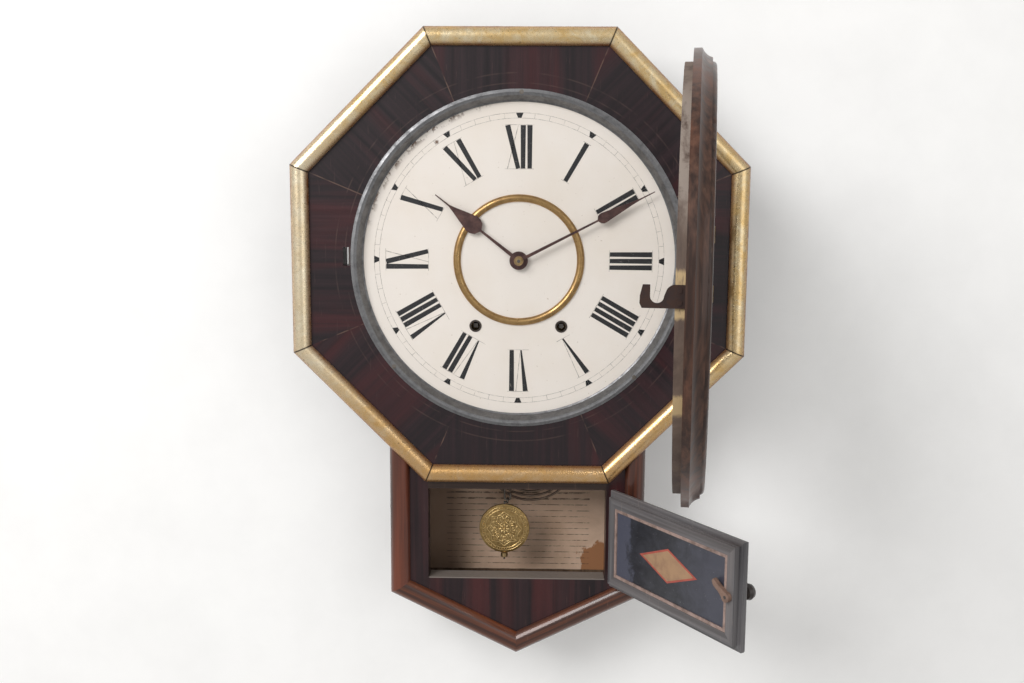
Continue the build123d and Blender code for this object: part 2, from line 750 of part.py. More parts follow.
def make_gong():
    """Coiled wire gong on its bracket, and the hammer that strikes its outer turn."""
    parts = {}
    r = gong_wire_radius
    x = gong_x
    z = gong_z
    d = gong_depth
    # The coil is a chain of half turns whose radii grow by half the pitch,
    # so that each one meets the next in line.
    edges = []
    start_x = x - gong_inner_radius
    turn_in = 5.0
    block_half = gong_block_size / 2
    side = -1
    here = start_x
    edges.append(Line((x - block_half, -d, z + turn_in), (start_x + turn_in, -d, z + turn_in)))
    edges.append(
        ThreePointArc(
            (start_x + turn_in, -d, z + turn_in),
            (start_x + turn_in * (1 - math.sin(math.pi / 4)), -d, z + turn_in * math.sin(math.pi / 4)),
            (start_x, -d, z),
        )
    )
    radius = gong_inner_radius + gong_pitch / 4
    points = []
    for k in range(2 * gong_turns):
        there = here + 2 * radius if side < 0 else here - 2 * radius
        middle_x = (here + there) / 2
        middle_z = z - radius if side < 0 else z + radius
        edges.append(ThreePointArc((here, -d, z), (middle_x, -d, middle_z), (there, -d, z)))
        for step in range(24):
            angle = math.pi * step / 24
            sweep_x = middle_x + side * radius * math.cos(angle)
            sweep_z = z + side * radius * math.sin(angle)
            points.append((k * 24 + step, sweep_x, sweep_z))
        here = there
        side = -side
        radius += gong_pitch / 2
    gap = min(
        math.hypot(ax - bx, az - bz) - 2 * r
        for i, ax, az in points
        for j, bx, bz in points
        if j - i > 24
    )
    print("gong coil: least gap to itself", round(gap, 2), "mm over", gong_turns, "turns")
    path = Wire(edges)
    coil = sweep(Plane(origin=(x - block_half, -d, z + turn_in), z_dir=(-1, 0, 0)) * Circle(r), path=path)
    parts["gong_coil"] = coil
    base_w, base_h, base_t = gong_base_size
    near = backboard_thickness + base_t
    base = block(x - base_w / 2, x + base_w / 2, backboard_thickness, near, z - base_h / 2, z + base_h / 2)
    post = disc(gong_post_radius, near, d - 5, x, z)
    head = block(x - block_half, x + block_half, d - 5, d + 5, z - block_half, z + block_half)
    parts["gong_bracket"] = base + post + head
    outer_x = max(px for i, px, pz in points) + r
    head_x = outer_x + hammer_gap
    hx, hz = hammer_pivot
    arbor = disc(pivot_radius, back_plate_depth, plate_face_depth, hx, hz)
    arbor += disc(3.0, d - 4, d + 4, hx, hz)
    arm = rod((hx, d, hz), (head_x + hammer_head_length / 2, d, z + 2), 1.0)
    head = rod((head_x, d, z), (head_x + hammer_head_length, d, z), hammer_head_radius)
    parts["strike_hammer"] = arbor + arm + head
    return parts


def make_hanger():
    """Steel hanging plate let into the backboard, its screws, and the paper label."""
    hx, hz = hanger_size
    plate = block(-hx / 2, hx / 2, 0, hanger_thickness, hanger_z - hz / 2, hanger_z + hz / 2)
    plate -= disc(hanger_hole_radius, 0, hanger_thickness, 0, hanger_z)
    screws = []
    for side in (-1, 1):
        x = side * (hx / 2 - 6)
        plate -= disc(1.8, 0, hanger_thickness, x, hanger_z)
        screws.append(disc(1.7, 0, hanger_thickness, x, hanger_z))
    w = label_half_width
    label = slab(
        [(-w, label_top_z), (w, label_top_z), (w, label_bottom_z), (-w, label_bottom_z)],
        backboard_thickness,
        backboard_thickness + label_thickness,
    )
    return {"hanger_plate": plate, "hanger_screws": group(screws), "paper_label": label}


def hinge_pair(pin_x, pin_depth, places, length, radius, pin_radius, fixed_leaf, moving_leaf):
    """Fixed and moving halves of two hinges, each with its pin in the fixed half."""
    fixed = []
    moving = []
    third = length / 3
    for z in places:
        leaf = fixed_leaf(z)
        knuckles = []
        for z0, z1 in ((z - length / 2, z - third / 2), (z + third / 2, z + length / 2)):
            knuckles.append(rod((pin_x, pin_depth, z0), (pin_x, pin_depth, z1), radius))
        middle = rod((pin_x, pin_depth, z - third / 2), (pin_x, pin_depth, z + third / 2), radius + seat_gap)
        pin = rod((pin_x, pin_depth, z - length / 2), (pin_x, pin_depth, z + length / 2), pin_radius)
        fixed.append(leaf - middle + knuckles[0] + knuckles[1] + pin)
        low = z - third / 2 + seat_gap / 2
        high = z + third / 2 - seat_gap / 2
        barrel = rod((pin_x, pin_depth, low), (pin_x, pin_depth, high), radius)
        half = moving_leaf(z)
        for z0, z1 in ((z - length, low), (high, z + length)):
            half -= rod((pin_x, pin_depth, z0), (pin_x, pin_depth, z1), radius + seat_gap)
        half = half + barrel
        half -= rod((pin_x, pin_depth, z - length), (pin_x, pin_depth, z + length), pin_radius + running_fit)
        moving.append(half)
    return fixed, moving


def make_dial_door():
    """Turned wooden ring with its back ring, glass, hook and hinges."""
    parts = {}
    near = closed_door_depth
    rim = rim_depth
    front = door_front_depth
    sight = dial_door_sight_radius
    r = dial_door_radius
    lip = dial_door_lip_radius
    glass_front = rim + dial_glass_thickness
    bead_depth = front - dial_door_bead
    band = rim + dial_door_band
    outer = [
        Line((dial_glass_radius + 0.5, -rim), (r, -rim)),
        Line((r, -rim), (r, -band)),
        ThreePointArc((r, -band), (lip + 2.6, -band - 3.0), (lip, -bead_depth)),
        Line((lip, -bead_depth), (lip - 3.0, -bead_depth)),
        ThreePointArc((lip - 3.0, -bead_depth), (lip - 4.4, -front + 0.6), (lip - 7.0, -front)),
        ThreePointArc((lip - 7.0, -front), (sight + 6.0, -front + 4.0), (sight, -glass_front - 2.6)),
        Line((sight, -glass_front - 2.6), (sight, -glass_front)),
        Line((sight, -glass_front), (dial_glass_radius + 0.5, -glass_front)),
        Line((dial_glass_radius + 0.5, -glass_front), (dial_glass_radius + 0.5, -rim)),
    ]
    ring = revolve(make_face(Curve() + outer), Axis.Y)
    half = dial_hinge_z + dial_hinge_length / 2 + 1.0
    ring -= block(dial_hinge_flat_x, r + 5, rim - 1, front + 1, -half, half)
    back = lathe([(sight, near), (dial_door_back_radius, near), (dial_door_back_radius, rim), (sight, rim)])
    glass = disc(dial_glass_radius, rim, glass_front)
    parts["dial_door_ring"] = open_dial_door(ring)
    parts["dial_door_back_ring"] = open_dial_door(back)
    parts["dial_glass"] = open_dial_door(glass)

    x1 = -dial_door_back_radius - 0.2
    x0 = x1 - catch_plate_thickness
    low = catch_z - catch_height / 2
    high = catch_z + catch_height / 2
    tip = rim - catch_reach
    throat_z = low + 7.6
    throat = (-tip - 6.6, throat_z), (-tip - 11.0, low + 3.2), (-tip - 15.4, throat_z)
    shoulder = (-tip - 16.8, low + 11.2), (-tip - 18.6, low + 13.7), (-tip - 21.6, high)
    nose = [(-tip, low + 3.0), (-tip - 0.2, low + 8.0), (-tip - 1.9, high), (-tip - 6.6, high)]
    outline = [
        Polyline((-rim, low), (-tip - 1.5, low), *nose, throat[0]),
        ThreePointArc(*throat),
        Line(throat[2], shoulder[0]),
        ThreePointArc(*shoulder),
        Polyline(shoulder[2], (-rim, high), (-rim, low)),
    ]
    face = make_face(Curve() + outline)
    plate = extrude(Plane(origin=(x0, 0, 0), x_dir=(0, 1, 0), z_dir=(1, 0, 0)) * face, amount=x1 - x0)
    screws = []
    for z in (low + 3.5, high - 3.5):
        screws.append(rod_along_x(x0 - 0.7, x0, rim - 3.6, z, 1.8))
    parts["catch_hook"] = open_dial_door(plate)
    parts["catch_screws"] = open_dial_door(group(screws))

    leaf_x = dial_pin_x + 0.8
    foot_x = dial_hinge_flat_x - 5.5

    def fixed_leaf(z):
        h = dial_hinge_length / 2
        web = block(leaf_x, leaf_x + 1.6, veneer_depth, dial_pin_depth, z - h, z + h)
        foot = block(foot_x, leaf_x + 1.6, veneer_depth, veneer_depth + 1.4, z - h, z + h)
        return web + foot

    def moving_leaf(z):
        h = dial_hinge_length / 2
        x = dial_hinge_flat_x
        d = rim + 0.5
        turn = dial_pin_depth - 6.0
        outline = [
            (x, -d),
            (x + 1.4, -d),
            (x + 1.4, -turn),
            (dial_pin_x, -dial_pin_depth + 2.2),
            (dial_pin_x, -dial_pin_depth),
            (dial_pin_x - 2.0, -dial_pin_depth),
            (x, -turn - 1.6),
        ]
        leaf = extrude(Plane.XY.offset(z - h) * make_face(Polyline(*outline, close=True)), amount=2 * h)
        return leaf

    places = (-dial_hinge_z, dial_hinge_z)
    fixed, moving = hinge_pair(
        dial_pin_x, dial_pin_depth, places, dial_hinge_length, 2.2, 1.1, fixed_leaf, moving_leaf
    )
    parts["dial_hinge_brackets"] = group(fixed)
    parts["dial_hinge_straps"] = open_dial_door(group(moving))
    return parts


def rod_along_x(x0, x1, depth, z, radius):
    """Round bar that runs along X."""
    return rod((x0, depth, z), (x1, depth, z), radius)


def frame_member(length, side_sign):
    """One mitred member of the lower door, along X, with its outer edge at z = 0."""
    w = lower_frame_width
    lip = lower_door_overlap
    back = lower_inner_depth
    face = drop_face_depth
    front = lower_front_depth
    rebate = tablet_rebate
    profile = [
        (0, back),
        (w - rebate, back),
        (w - rebate, back + tablet_rebate),
        (w, back + tablet_rebate),
        (w, front - 3.2),
        (w - 2.0, front - 0.8),
        (w - 4.0, front),
        (-lip + 2.4, front),
        (-lip + 0.7, front - 0.8),
        (-lip, front - 2.6),
        (-lip, face),
        (0, face),
    ]
    points = [(-z * side_sign, d) for z, d in profile]
    section = Plane(origin=(-length / 2, 0, 0), x_dir=(0, 0, 1), z_dir=(1, 0, 0)) * make_face(
        Polyline(*points, close=True)
    )
    return extrude(section, amount=length)


def make_lower_door():
    """Mitred frame with its painted glass and bead, hinges, knob and turn button."""
    parts = {}
    w = lower_door_half_width
    h = lower_door_height / 2
    middle_z = (lower_door_top_z + lower_door_bottom_z) / 2
    reach = lower_door_overlap
    back = lower_inner_depth
    front = lower_front_depth
    members = []
    over = reach + 2.0
    corner_x = w - h
    for top in (1, -1):
        bar = Pos(0, 0, middle_z + top * h) * frame_member(2 * (w + over), top)
        shape = [
            (-(w + over), middle_z + top * (h + over)),
            (w + over, middle_z + top * (h + over)),
            (corner_x, middle_z),
            (-corner_x, middle_z),
        ]
        members.append(bar & slab(shape, back, front))
    for side in (-1, 1):
        bar = frame_member(2 * (h + over), 1).rotate(Axis.Y, 90 * side)
        bar = Pos(side * w, 0, middle_z) * bar
        shape = [
            (side * (w + over), middle_z + h + over),
            (side * (w + over), middle_z - h - over),
            (side * corner_x, middle_z),
        ]
        member = bar & slab(shape, back, front)
        if side < 0:
            member -= disc(latch_shaft_radius + running_fit, back - 1, front + 1, -w + latch_inset, latch_z)
        if side > 0:
            for z in lower_hinge_z:
                cut = lower_hinge_length / 2 + seat_gap
                edge = w + reach
                member -= block(edge - 1.2, edge + 3, drop_face_depth - 1, front + 1, z - cut, z + cut)
        members.append(member)
    parts["lower_door_frame"] = open_lower_door(group(members))

    rebate = tablet_rebate
    inner = lower_frame_width - rebate
    gx = w - inner - 0.2
    gz = h - inner - 0.2
    glass_near = back + tablet_rebate - tablet_thickness
    glass = block(-gx, gx, glass_near, back + tablet_rebate, middle_z - gz, middle_z + gz)
    parts["tablet_glass"] = open_lower_door(glass)
    bead_w = rebate - 0.6
    beads = []
    outline = [(-gx, middle_z + gz), (gx, middle_z + gz), (gx, middle_z - gz), (-gx, middle_z - gz)]
    inside = [
        (-gx + bead_w, middle_z + gz - bead_w),
        (gx - bead_w, middle_z + gz - bead_w),
        (gx - bead_w, middle_z - gz + bead_w),
        (-gx + bead_w, middle_z - gz + bead_w),
    ]
    for k in range(4):
        n = (k + 1) % 4
        beads.append(slab([outline[k], outline[n], inside[n], inside[k]], back + 0.3, glass_near))
    parts["tablet_beads"] = open_lower_door(group(beads))

    leaf_edge = w + reach

    def fixed_leaf(z):
        k = lower_hinge_length / 2
        x = lower_pin_x - 0.6
        face = drop_face_depth
        flat = block(x, x + lower_hinge_leaf, face, face + 1.0, z - k, z + k)
        rise = block(x, x + 1.2, face, lower_pin_depth, z - k, z + k)
        return flat + rise

    def moving_leaf(z):
        k = lower_hinge_length / 2
        x = leaf_edge - 1.2
        pin = lower_pin_depth
        flat = block(x, leaf_edge, drop_face_depth + 0.3, front, z - k, z + k)
        tongue = block(x, lower_pin_x, pin - 0.6, pin + 0.6, z - 2.7, z + 2.7)
        return flat + tongue

    fixed, moving = hinge_pair(
        lower_pin_x, lower_pin_depth, lower_hinge_z, lower_hinge_length, 1.9, 0.8, fixed_leaf, moving_leaf
    )
    parts["lower_hinge_plates"] = group(fixed)
    parts["lower_hinge_leaves"] = open_lower_door(group(moving))

    x = -w + latch_inset
    button_near = back - 0.3 - turn_button_thickness
    shaft = disc(latch_shaft_radius, button_near, front + 4, x, latch_z)
    knob = lathe(
        [
            (0, front + 0.3),
            (knob_radius * 0.78, front + 0.3),
            (knob_radius * 0.78, front + 1.6),
            (knob_radius * 0.42, front + 3.2),
            (knob_radius * 0.42, front + 5.0),
            (knob_radius * 0.86, front + 7.6),
            (knob_radius, front + 11.0),
            (knob_radius * 0.86, front + 14.2),
            (knob_radius * 0.45, front + 16.4),
            (0, front + 17.0),
        ],
        x,
        latch_z,
    )
    hub = turn_button_width / 2
    tip = turn_button_length - hub
    wing = [
        (x - hub * 0.8, latch_z),
        (x + hub * 0.8, latch_z),
        (x + hub * 0.55, latch_z + tip * 0.45),
        (x + hub * 0.75, latch_z + tip * 0.8),
        (x + hub * 0.30, latch_z + tip),
        (x - hub * 0.40, latch_z + tip),
        (x - hub * 0.55, latch_z + tip * 0.45),
    ]
    button_far = button_near + turn_button_thickness
    button = disc(hub, button_near, button_far, x, latch_z)
    button += slab(wing, button_near, button_far)
    button -= disc(latch_shaft_radius, button_near - 1, back, x, latch_z)
    spin = Axis((x, 0, latch_z), (0, 1, 0))
    button = button.rotate(spin, turn_button_angle)
    parts["latch_knob"] = open_lower_door(knob + shaft)
    parts["turn_button"] = open_lower_door(button)
    return parts


def main():
    os.makedirs("parts", exist_ok=True)
    makers = (
        make_case,
        make_octagon,
        make_drop_front,
        make_dial,
        make_hands,
        make_movement,
        make_pendulum,
        make_gong,
        make_hanger,
        make_dial_door,
        make_lower_door,
    )
    parts = {}
    for maker in makers:
        parts.update(maker())
    for name, shape in parts.items():
        export_step(shape, "parts/" + name + ".step")
    print(len(parts), "nodes written")


main()
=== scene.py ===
"""Octagonal wall clock with both doors open: finishes, dial print and small pieces on the frame."""
import json
import math

import bpy
from mathutils import Matrix, Vector


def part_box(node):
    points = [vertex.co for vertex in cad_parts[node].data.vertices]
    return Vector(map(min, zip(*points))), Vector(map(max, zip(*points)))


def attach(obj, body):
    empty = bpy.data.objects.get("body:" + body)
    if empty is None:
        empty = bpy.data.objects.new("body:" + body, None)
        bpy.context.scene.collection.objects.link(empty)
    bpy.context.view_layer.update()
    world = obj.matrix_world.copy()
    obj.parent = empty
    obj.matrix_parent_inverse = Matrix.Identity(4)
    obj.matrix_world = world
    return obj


bl_info = {
    "name": "Octagonal wall clock",
    "version": (1, 0, 0),
    "blender": (4, 5, 0),
    "location": "View3D > Sidebar > Wall clock",
    "description": "Dresses the octagonal wall clock and sets its stage",
    "category": "Add Mesh",
}

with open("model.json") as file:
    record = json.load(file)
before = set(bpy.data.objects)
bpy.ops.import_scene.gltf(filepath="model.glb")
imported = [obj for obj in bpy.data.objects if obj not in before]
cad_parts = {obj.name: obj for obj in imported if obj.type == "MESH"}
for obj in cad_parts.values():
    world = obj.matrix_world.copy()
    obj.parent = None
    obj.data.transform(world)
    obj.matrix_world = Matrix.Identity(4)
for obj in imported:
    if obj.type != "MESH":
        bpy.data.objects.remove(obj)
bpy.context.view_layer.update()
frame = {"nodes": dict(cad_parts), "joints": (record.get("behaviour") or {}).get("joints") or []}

# Places read from the frame, in metres.
DIAL_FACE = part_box("dial_plate")[0][1]
GLASS_LOW, GLASS_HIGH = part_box("tablet_glass")
BOB_LOW, BOB_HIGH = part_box("pendulum_bob")
LABEL_LOW, LABEL_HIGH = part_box("paper_label")

# Measures that the frame doesn't give, in metres.
PRINT_LIFT = 0.00012
LOWER_FRAME_HALF = (0.0890, 0.0444)
TABLET_INNER_FACE = -0.0855
DROP_POINT_HEIGHT = 0.063
OPENING_HALF_WIDTH = 0.0895
OPENING_BOTTOM = LABEL_LOW[2] + 0.0197

# Camera of the photo, with its turns in degrees, and the film's width in millimetres.
PHOTO_CAMERA = (0.01444, -1.15298, 0.07193)
PHOTO_LENS = 38.32
PHOTO_YAW = -1.104
PHOTO_PITCH = -8.112
PHOTO_ROLL = 0.353
FILM_WIDTH = 36.0

QUARTER = math.radians(90.0)
# Angle that one octagon segment takes, and how far the grain moves on from one segment to the next.
SEGMENT_ANGLE = math.pi / 4
GRAIN_SHIFT = 0.37

# Marks on the clock, and the reach of the painted shadow on the label, in metres.
WORN_RINGS = (0.1690, 0.1785)
MITRE_GAP = 0.0003
DIAL_RIM = (0.1465, 0.1515)
DIAL_SPOT = (-0.0800, 0.1137)
LABEL_PITCH = 0.0066
LABEL_PRINT_HALF = 0.078
LABEL_HEADING = 0.040
# Reach of the painted shadow on the label's left side, measured from the label's left edge.
LABEL_PAINTED_SHADOW = (0.050, 0.024)
TABLET_FLAKED = (0.0150, 0.0110)
TABLET_FADED = (0.040, 0.014)

DAYLIGHT = (1.0, 0.99, 0.975)
# Name, place, size and power of each lamp, and the point that they light.
LAMPS = (("Key", (-1.3, -1.9, 1.1), 1.2, 42.0), ("Fill", (1.5, -2.2, 0.3), 1.8, 9.0))
LAMP_AIM = Vector((0, -0.08, -0.05))
WORLD_LIGHT = 0.55
WALL_SIZE = 6.0
WALL_BEHIND = 0.003


def joint_named(name):
    """The record's joint of that name."""
    for joint in frame["joints"]:
        if joint["name"] == name:
            return joint
    raise ValueError("no joint " + name)


LOWER_PIN = Vector(joint_named("lower_door_hinge")["pos_m"])
LOWER_OPEN = math.radians(123.0)


class WallClockSizes(bpy.types.PropertyGroup):
    """Sizes of the printed dial and the decoration."""

    track_radius: bpy.props.FloatProperty(
        name="Minute track radius", description="Outer line of the minute track",
        default=0.1420, min=0.10, max=0.15, unit="LENGTH")
    track_width: bpy.props.FloatProperty(
        name="Minute track width", description="Distance between the two track lines",
        default=0.0050, min=0.002, max=0.01, unit="LENGTH")
    track_line: bpy.props.FloatProperty(
        name="Track line width", description="Width of the lines and ticks of the track",
        default=0.00035, min=0.0001, max=0.001, unit="LENGTH")
    numeral_outer: bpy.props.FloatProperty(
        name="Numeral outer radius", description="Outer end of the hour numerals",
        default=0.1305, min=0.1, max=0.15, unit="LENGTH")
    numeral_inner: bpy.props.FloatProperty(
        name="Numeral inner radius", description="Inner end of the hour numerals",
        default=0.0885, min=0.05, max=0.12, unit="LENGTH")
    thick_stroke: bpy.props.FloatProperty(
        name="Thick stroke", description="Width of a numeral's thick strokes",
        default=0.0046, min=0.001, max=0.01, unit="LENGTH")
    thin_stroke: bpy.props.FloatProperty(
        name="Thin stroke", description="Width of a numeral's worn hairlines",
        default=0.0006, min=0.0002, max=0.002, unit="LENGTH")
    bead_radius: bpy.props.FloatProperty(
        name="Bob bead radius", description="Radius of one bead round the bob",
        default=0.0006, min=0.0002, max=0.002, unit="LENGTH")


class WallClockColours(bpy.types.PropertyGroup):
    """Main colours of the clock."""

    dial: bpy.props.FloatVectorProperty(
        name="Dial", description="Painted dial", subtype="COLOR", size=3,
        default=(0.80, 0.74, 0.68), min=0.0, max=1.0)
    ink: bpy.props.FloatVectorProperty(
        name="Ink", description="Numerals and track", subtype="COLOR", size=3,
        default=(0.012, 0.012, 0.014), min=0.0, max=1.0)
    veneer: bpy.props.FloatVectorProperty(
        name="Veneer", description="Dark rosewood veneer", subtype="COLOR", size=3,
        default=(0.0105, 0.0065, 0.0085), min=0.0, max=1.0)
    gold: bpy.props.FloatVectorProperty(
        name="Gold leaf", description="Gilt mouldings", subtype="COLOR", size=3,
        default=(0.70, 0.48, 0.21), min=0.0, max=1.0)
    backdrop: bpy.props.FloatVectorProperty(
        name="Backdrop", description="Wall behind the clock", subtype="COLOR", size=3,
        default=(0.90, 0.895, 0.885), min=0.0, max=1.0)
    backdrop_glow: bpy.props.FloatProperty(
        name="Backdrop glow", description="Light that only the camera sees on the wall",
        default=0.05, min=0.0, max=1.0, subtype="FACTOR")


def sizes():
    """The sizes of this scene."""
    return bpy.context.scene.wall_clock_sizes


def colours():
    """The colours of this scene."""
    return bpy.context.scene.wall_clock_colours


# Modelling helpers


def clear_selection():
    """Nothing is selected, in object mode."""
    if bpy.context.object and bpy.context.object.mode != "OBJECT":
        bpy.ops.object.mode_set(mode="OBJECT")
    bpy.ops.object.select_all(action="DESELECT")


def select_only(*pieces):
    """Only these pieces are selected, and the first is active."""
    clear_selection()
    for piece in pieces:
        piece.select_set(True)
    bpy.context.view_layer.objects.active = pieces[0]


def rename(name):
    """Names the active object and its mesh."""
    piece = bpy.context.object
    piece.name = name
    piece.data.name = name
    return piece


def settle(name):
    """Names the active object and applies its place to its mesh."""
    bpy.ops.object.transform_apply(location=True, rotation=True, scale=True)
    return rename(name)


def bar(name, length, low_width, high_width, middle, angle=0.0):
    """Bar of the print's thickness, long way up, turned clockwise by angle about Y."""
    clear_selection()
    bpy.ops.mesh.primitive_cube_add(size=1.0)
    piece = bpy.context.object
    for vertex in piece.data.vertices:
        vertex.co.x *= high_width if vertex.co.z > 0 else low_width
        vertex.co.y *= PRINT_LIFT
        vertex.co.z *= length
    piece.rotation_euler = (0.0, angle, 0.0)
    piece.location = middle
    return settle(name)


def flat_ring(name, outer, inner, thickness, centre, segments=192):
    """Flat ring square to Y, made from a filled circle by inset and extrude."""
    clear_selection()
    bpy.ops.mesh.primitive_circle_add(vertices=segments, radius=outer, fill_type="NGON")
    bpy.ops.object.mode_set(mode="EDIT")
    bpy.ops.mesh.select_all(action="SELECT")
    bpy.ops.mesh.inset(thickness=outer - inner)
    bpy.ops.mesh.delete(type="FACE")
    bpy.ops.mesh.select_all(action="SELECT")
    bpy.ops.mesh.extrude_region_move(TRANSFORM_OT_translate={"value": (0, 0, thickness)})
    bpy.ops.mesh.select_all(action="SELECT")
    bpy.ops.mesh.normals_make_consistent(inside=False)
    bpy.ops.object.mode_set(mode="OBJECT")
    piece = bpy.context.object
    piece.rotation_euler = (QUARTER, 0.0, 0.0)
    piece.location = centre
    return settle(name)


def join(name, pieces):
    """Several meshes joined into the first."""
    select_only(*pieces)
    if len(pieces) > 1:
        bpy.ops.object.join()
    return rename(name)


def turn_with_door(piece, pin, angle):
    """Turns a piece made for the closed door to where the open door stands."""
    select_only(piece)
    turn = Matrix.Rotation(angle, 4, "Z")
    piece.matrix_world = Matrix.Translation(pin) @ turn @ Matrix.Translation(-pin)
    bpy.ops.object.transform_apply(location=True, rotation=True, scale=True)


def finish_piece(piece, material, body):
    """Gives a new piece its material and body."""
    piece.data.materials.clear()
    piece.data.materials.append(material)
    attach(piece, body)
    return piece


def dress(names, material):
    """Gives CAD nodes, named in one text, a material."""
    for name in names.split():
        node = frame["nodes"][name]
        if not node.material_slots:
            node.data.materials.append(material)
        for slot in node.material_slots:
            slot.material = material


# Shader groups


def new_group(name, inputs, outputs):
    """Node group with float, colour and vector sockets."""
    group = bpy.data.node_groups.new(name, "ShaderNodeTree")
    for label, kind, value in inputs:
        socket = group.interface.new_socket(name=label, in_out="INPUT", socket_type=kind)
        if value is not None:
            socket.default_value = (*value, 1.0) if kind == "NodeSocketColor" else value
    for label, kind in outputs:
        group.interface.new_socket(name=label, in_out="OUTPUT", socket_type=kind)
    return group


class Tree:
    """Short way to add and join nodes in a tree."""

    def __init__(self, tree):
        self.tree = tree
        self.nodes = tree.nodes
        self.across = 0

    def add(self, kind, **values):
        node = self.nodes.new(kind)
        self.across += 180
        node.location = (self.across, 0)
        for key, value in values.items():
            setattr(node, key, value)
        return node

    def link(self, source, target):
        self.tree.links.new(source, target)

    def feed(self, socket, value):
        """Links an output to a socket, or sets the socket. Colours are given by three numbers."""
        if isinstance(value, bpy.types.NodeSocket):
            self.link(value, socket)
        else:
            socket.default_value = (*value, 1.0) if socket.type == "RGBA" else value

    def set(self, node, **values):
        """Feeds a node's inputs, which are named here with underscores for their spaces."""
        for key, value in values.items():
            self.feed(node.inputs[key.replace("_", " ")], value)
        return node

    def math(self, operation, a, b=None, clamp=False):
        node = self.add("ShaderNodeMath", operation=operation, use_clamp=clamp)
        self.feed(node.inputs[0], a)
        if b is not None:
            self.feed(node.inputs[1], b)
        return node.outputs[0]

    def times(self, a, b):
        return self.math("MULTIPLY", a, b)

    def plus(self, a, b):
        return self.math("ADD", a, b)

    def minus(self, a, b):
        return self.math("SUBTRACT", a, b)

    def size(self, value):
        return self.math("ABSOLUTE", value)

    def noise(self, vector, scale, detail=6.0, rough=0.6, distortion=0.0, turn=(0, 0, 0)):
        """Noise over a vector that is scaled by one number or by three."""
        scales = scale if isinstance(scale, tuple) else (scale,) * 3
        node = self.set(self.add("ShaderNodeTexNoise"), Vector=self.scaled(vector, scales, turn), Scale=1.0,
                        Detail=detail, Roughness=rough, Distortion=distortion)
        return node.outputs["Fac"]

    def spread(self, value, low, high, to_low=0.0, to_high=1.0):
        """Maps low to high onto to_low to to_high, and clamps."""
        node = self.set(self.add("ShaderNodeMapRange"), Value=value, From_Min=low, From_Max=high,
                        To_Min=to_low, To_Max=to_high)
        return node.outputs["Result"]

    def mix(self, factor, a, b):
        """Mixes two colours."""
        node = self.add("ShaderNodeMix", data_type="RGBA")
        for place, value in ((0, factor), (6, a), (7, b)):
            self.feed(node.inputs[place], value)
        return node.outputs[2]

    def scaled(self, vector, scale=(1, 1, 1), turn=(0, 0, 0), place=(0, 0, 0)):
        node = self.add("ShaderNodeMapping")
        return self.set(node, Vector=vector, Scale=scale, Rotation=turn, Location=place).outputs["Vector"]

    def split(self, vector):
        """X, Y and Z of a vector."""
        return self.set(self.add("ShaderNodeSeparateXYZ"), Vector=vector).outputs

    def joined(self, **values):
        """Vector made from X, Y and Z."""
        return self.set(self.add("ShaderNodeCombineXYZ"), **values).outputs["Vector"]


def grain_group():
    """Wood grain: long streaks along Z of the vector, with pores and a slow figure."""
    group = new_group(
        "Wood grain",
        [("Vector", "NodeSocketVector", None), ("Dark", "NodeSocketColor", (0.02, 0.01, 0.01)),
         ("Light", "NodeSocketColor", (0.08, 0.03, 0.025)), ("Red", "NodeSocketColor", (0.12, 0.02, 0.015)),
         ("Red amount", "NodeSocketFloat", 0.4)],
        [("Color", "NodeSocketColor"), ("Roughness", "NodeSocketFloat"), ("Height", "NodeSocketFloat")])
    t = Tree(group)
    start = t.add("NodeGroupInput")
    end = t.add("NodeGroupOutput")
    vector = start.outputs["Vector"]
    streaks = t.noise(vector, (210.0, 210.0, 4.5), 3.0, 0.6, 0.1)
    figure = t.noise(vector, (34.0, 34.0, 3.0), 3.0, 0.5, 0.6)
    pores = t.noise(vector, (480.0, 480.0, 10.0), 2.0, 0.5)
    base = t.mix(t.spread(streaks, 0.38, 0.66), start.outputs["Dark"], start.outputs["Light"])
    red = t.times(t.spread(figure, 0.48, 0.66), start.outputs["Red amount"])
    colour = t.mix(red, base, start.outputs["Red"])
    dark = t.times(t.spread(pores, 0.56, 0.72), 0.35)
    colour = t.mix(dark, colour, start.outputs["Dark"])
    t.set(end, Color=colour, Roughness=t.spread(streaks, 0.3, 0.7, 0.30, 0.46), Height=pores)
    return group


def wear_group():
    """Scratches, rubbed patches and dust as masks from the Object vector."""
    group = new_group(
        "Wear",
        [("Vector", "NodeSocketVector", None), ("Scratches", "NodeSocketFloat", 0.5),
         ("Patches", "NodeSocketFloat", 0.5)],
        [("Mask", "NodeSocketFloat"), ("Dust", "NodeSocketFloat")])
    t = Tree(group)
    start = t.add("NodeGroupInput")
    end = t.add("NodeGroupOutput")
    vector = start.outputs["Vector"]
    scratch = t.noise(vector, (420.0, 420.0, 36.0), 3.0, 0.5, turn=(0.3, 0.7, 0.4))
    scratch = t.times(t.spread(scratch, 0.66, 0.72), start.outputs["Scratches"])
    patch = t.noise(vector, 38.0, 8.0, 0.7, 0.6)
    patch = t.times(t.spread(patch, 0.58, 0.70), start.outputs["Patches"])
    dust = t.noise(vector, 70.0, 10.0, 0.75)
    t.set(end, Mask=t.math("MAXIMUM", scratch, patch, clamp=True), Dust=t.spread(dust, 0.45, 0.75))
    return group


GROUPS = {}


def material_start(name):
    """New material with its shader and Object coordinates."""
    material = bpy.data.materials.new(name)
    material.use_nodes = True
    tree = Tree(material.node_tree)
    shader = material.node_tree.nodes["Principled BSDF"]
    place = tree.add("ShaderNodeTexCoord").outputs["Object"]
    return material, tree, shader, place


def add_group(tree, name, vector, **values):
    """Places a shared group and sets its inputs."""
    node = tree.add("ShaderNodeGroup")
    node.node_tree = GROUPS[name]
    return tree.set(node, Vector=vector, **values)


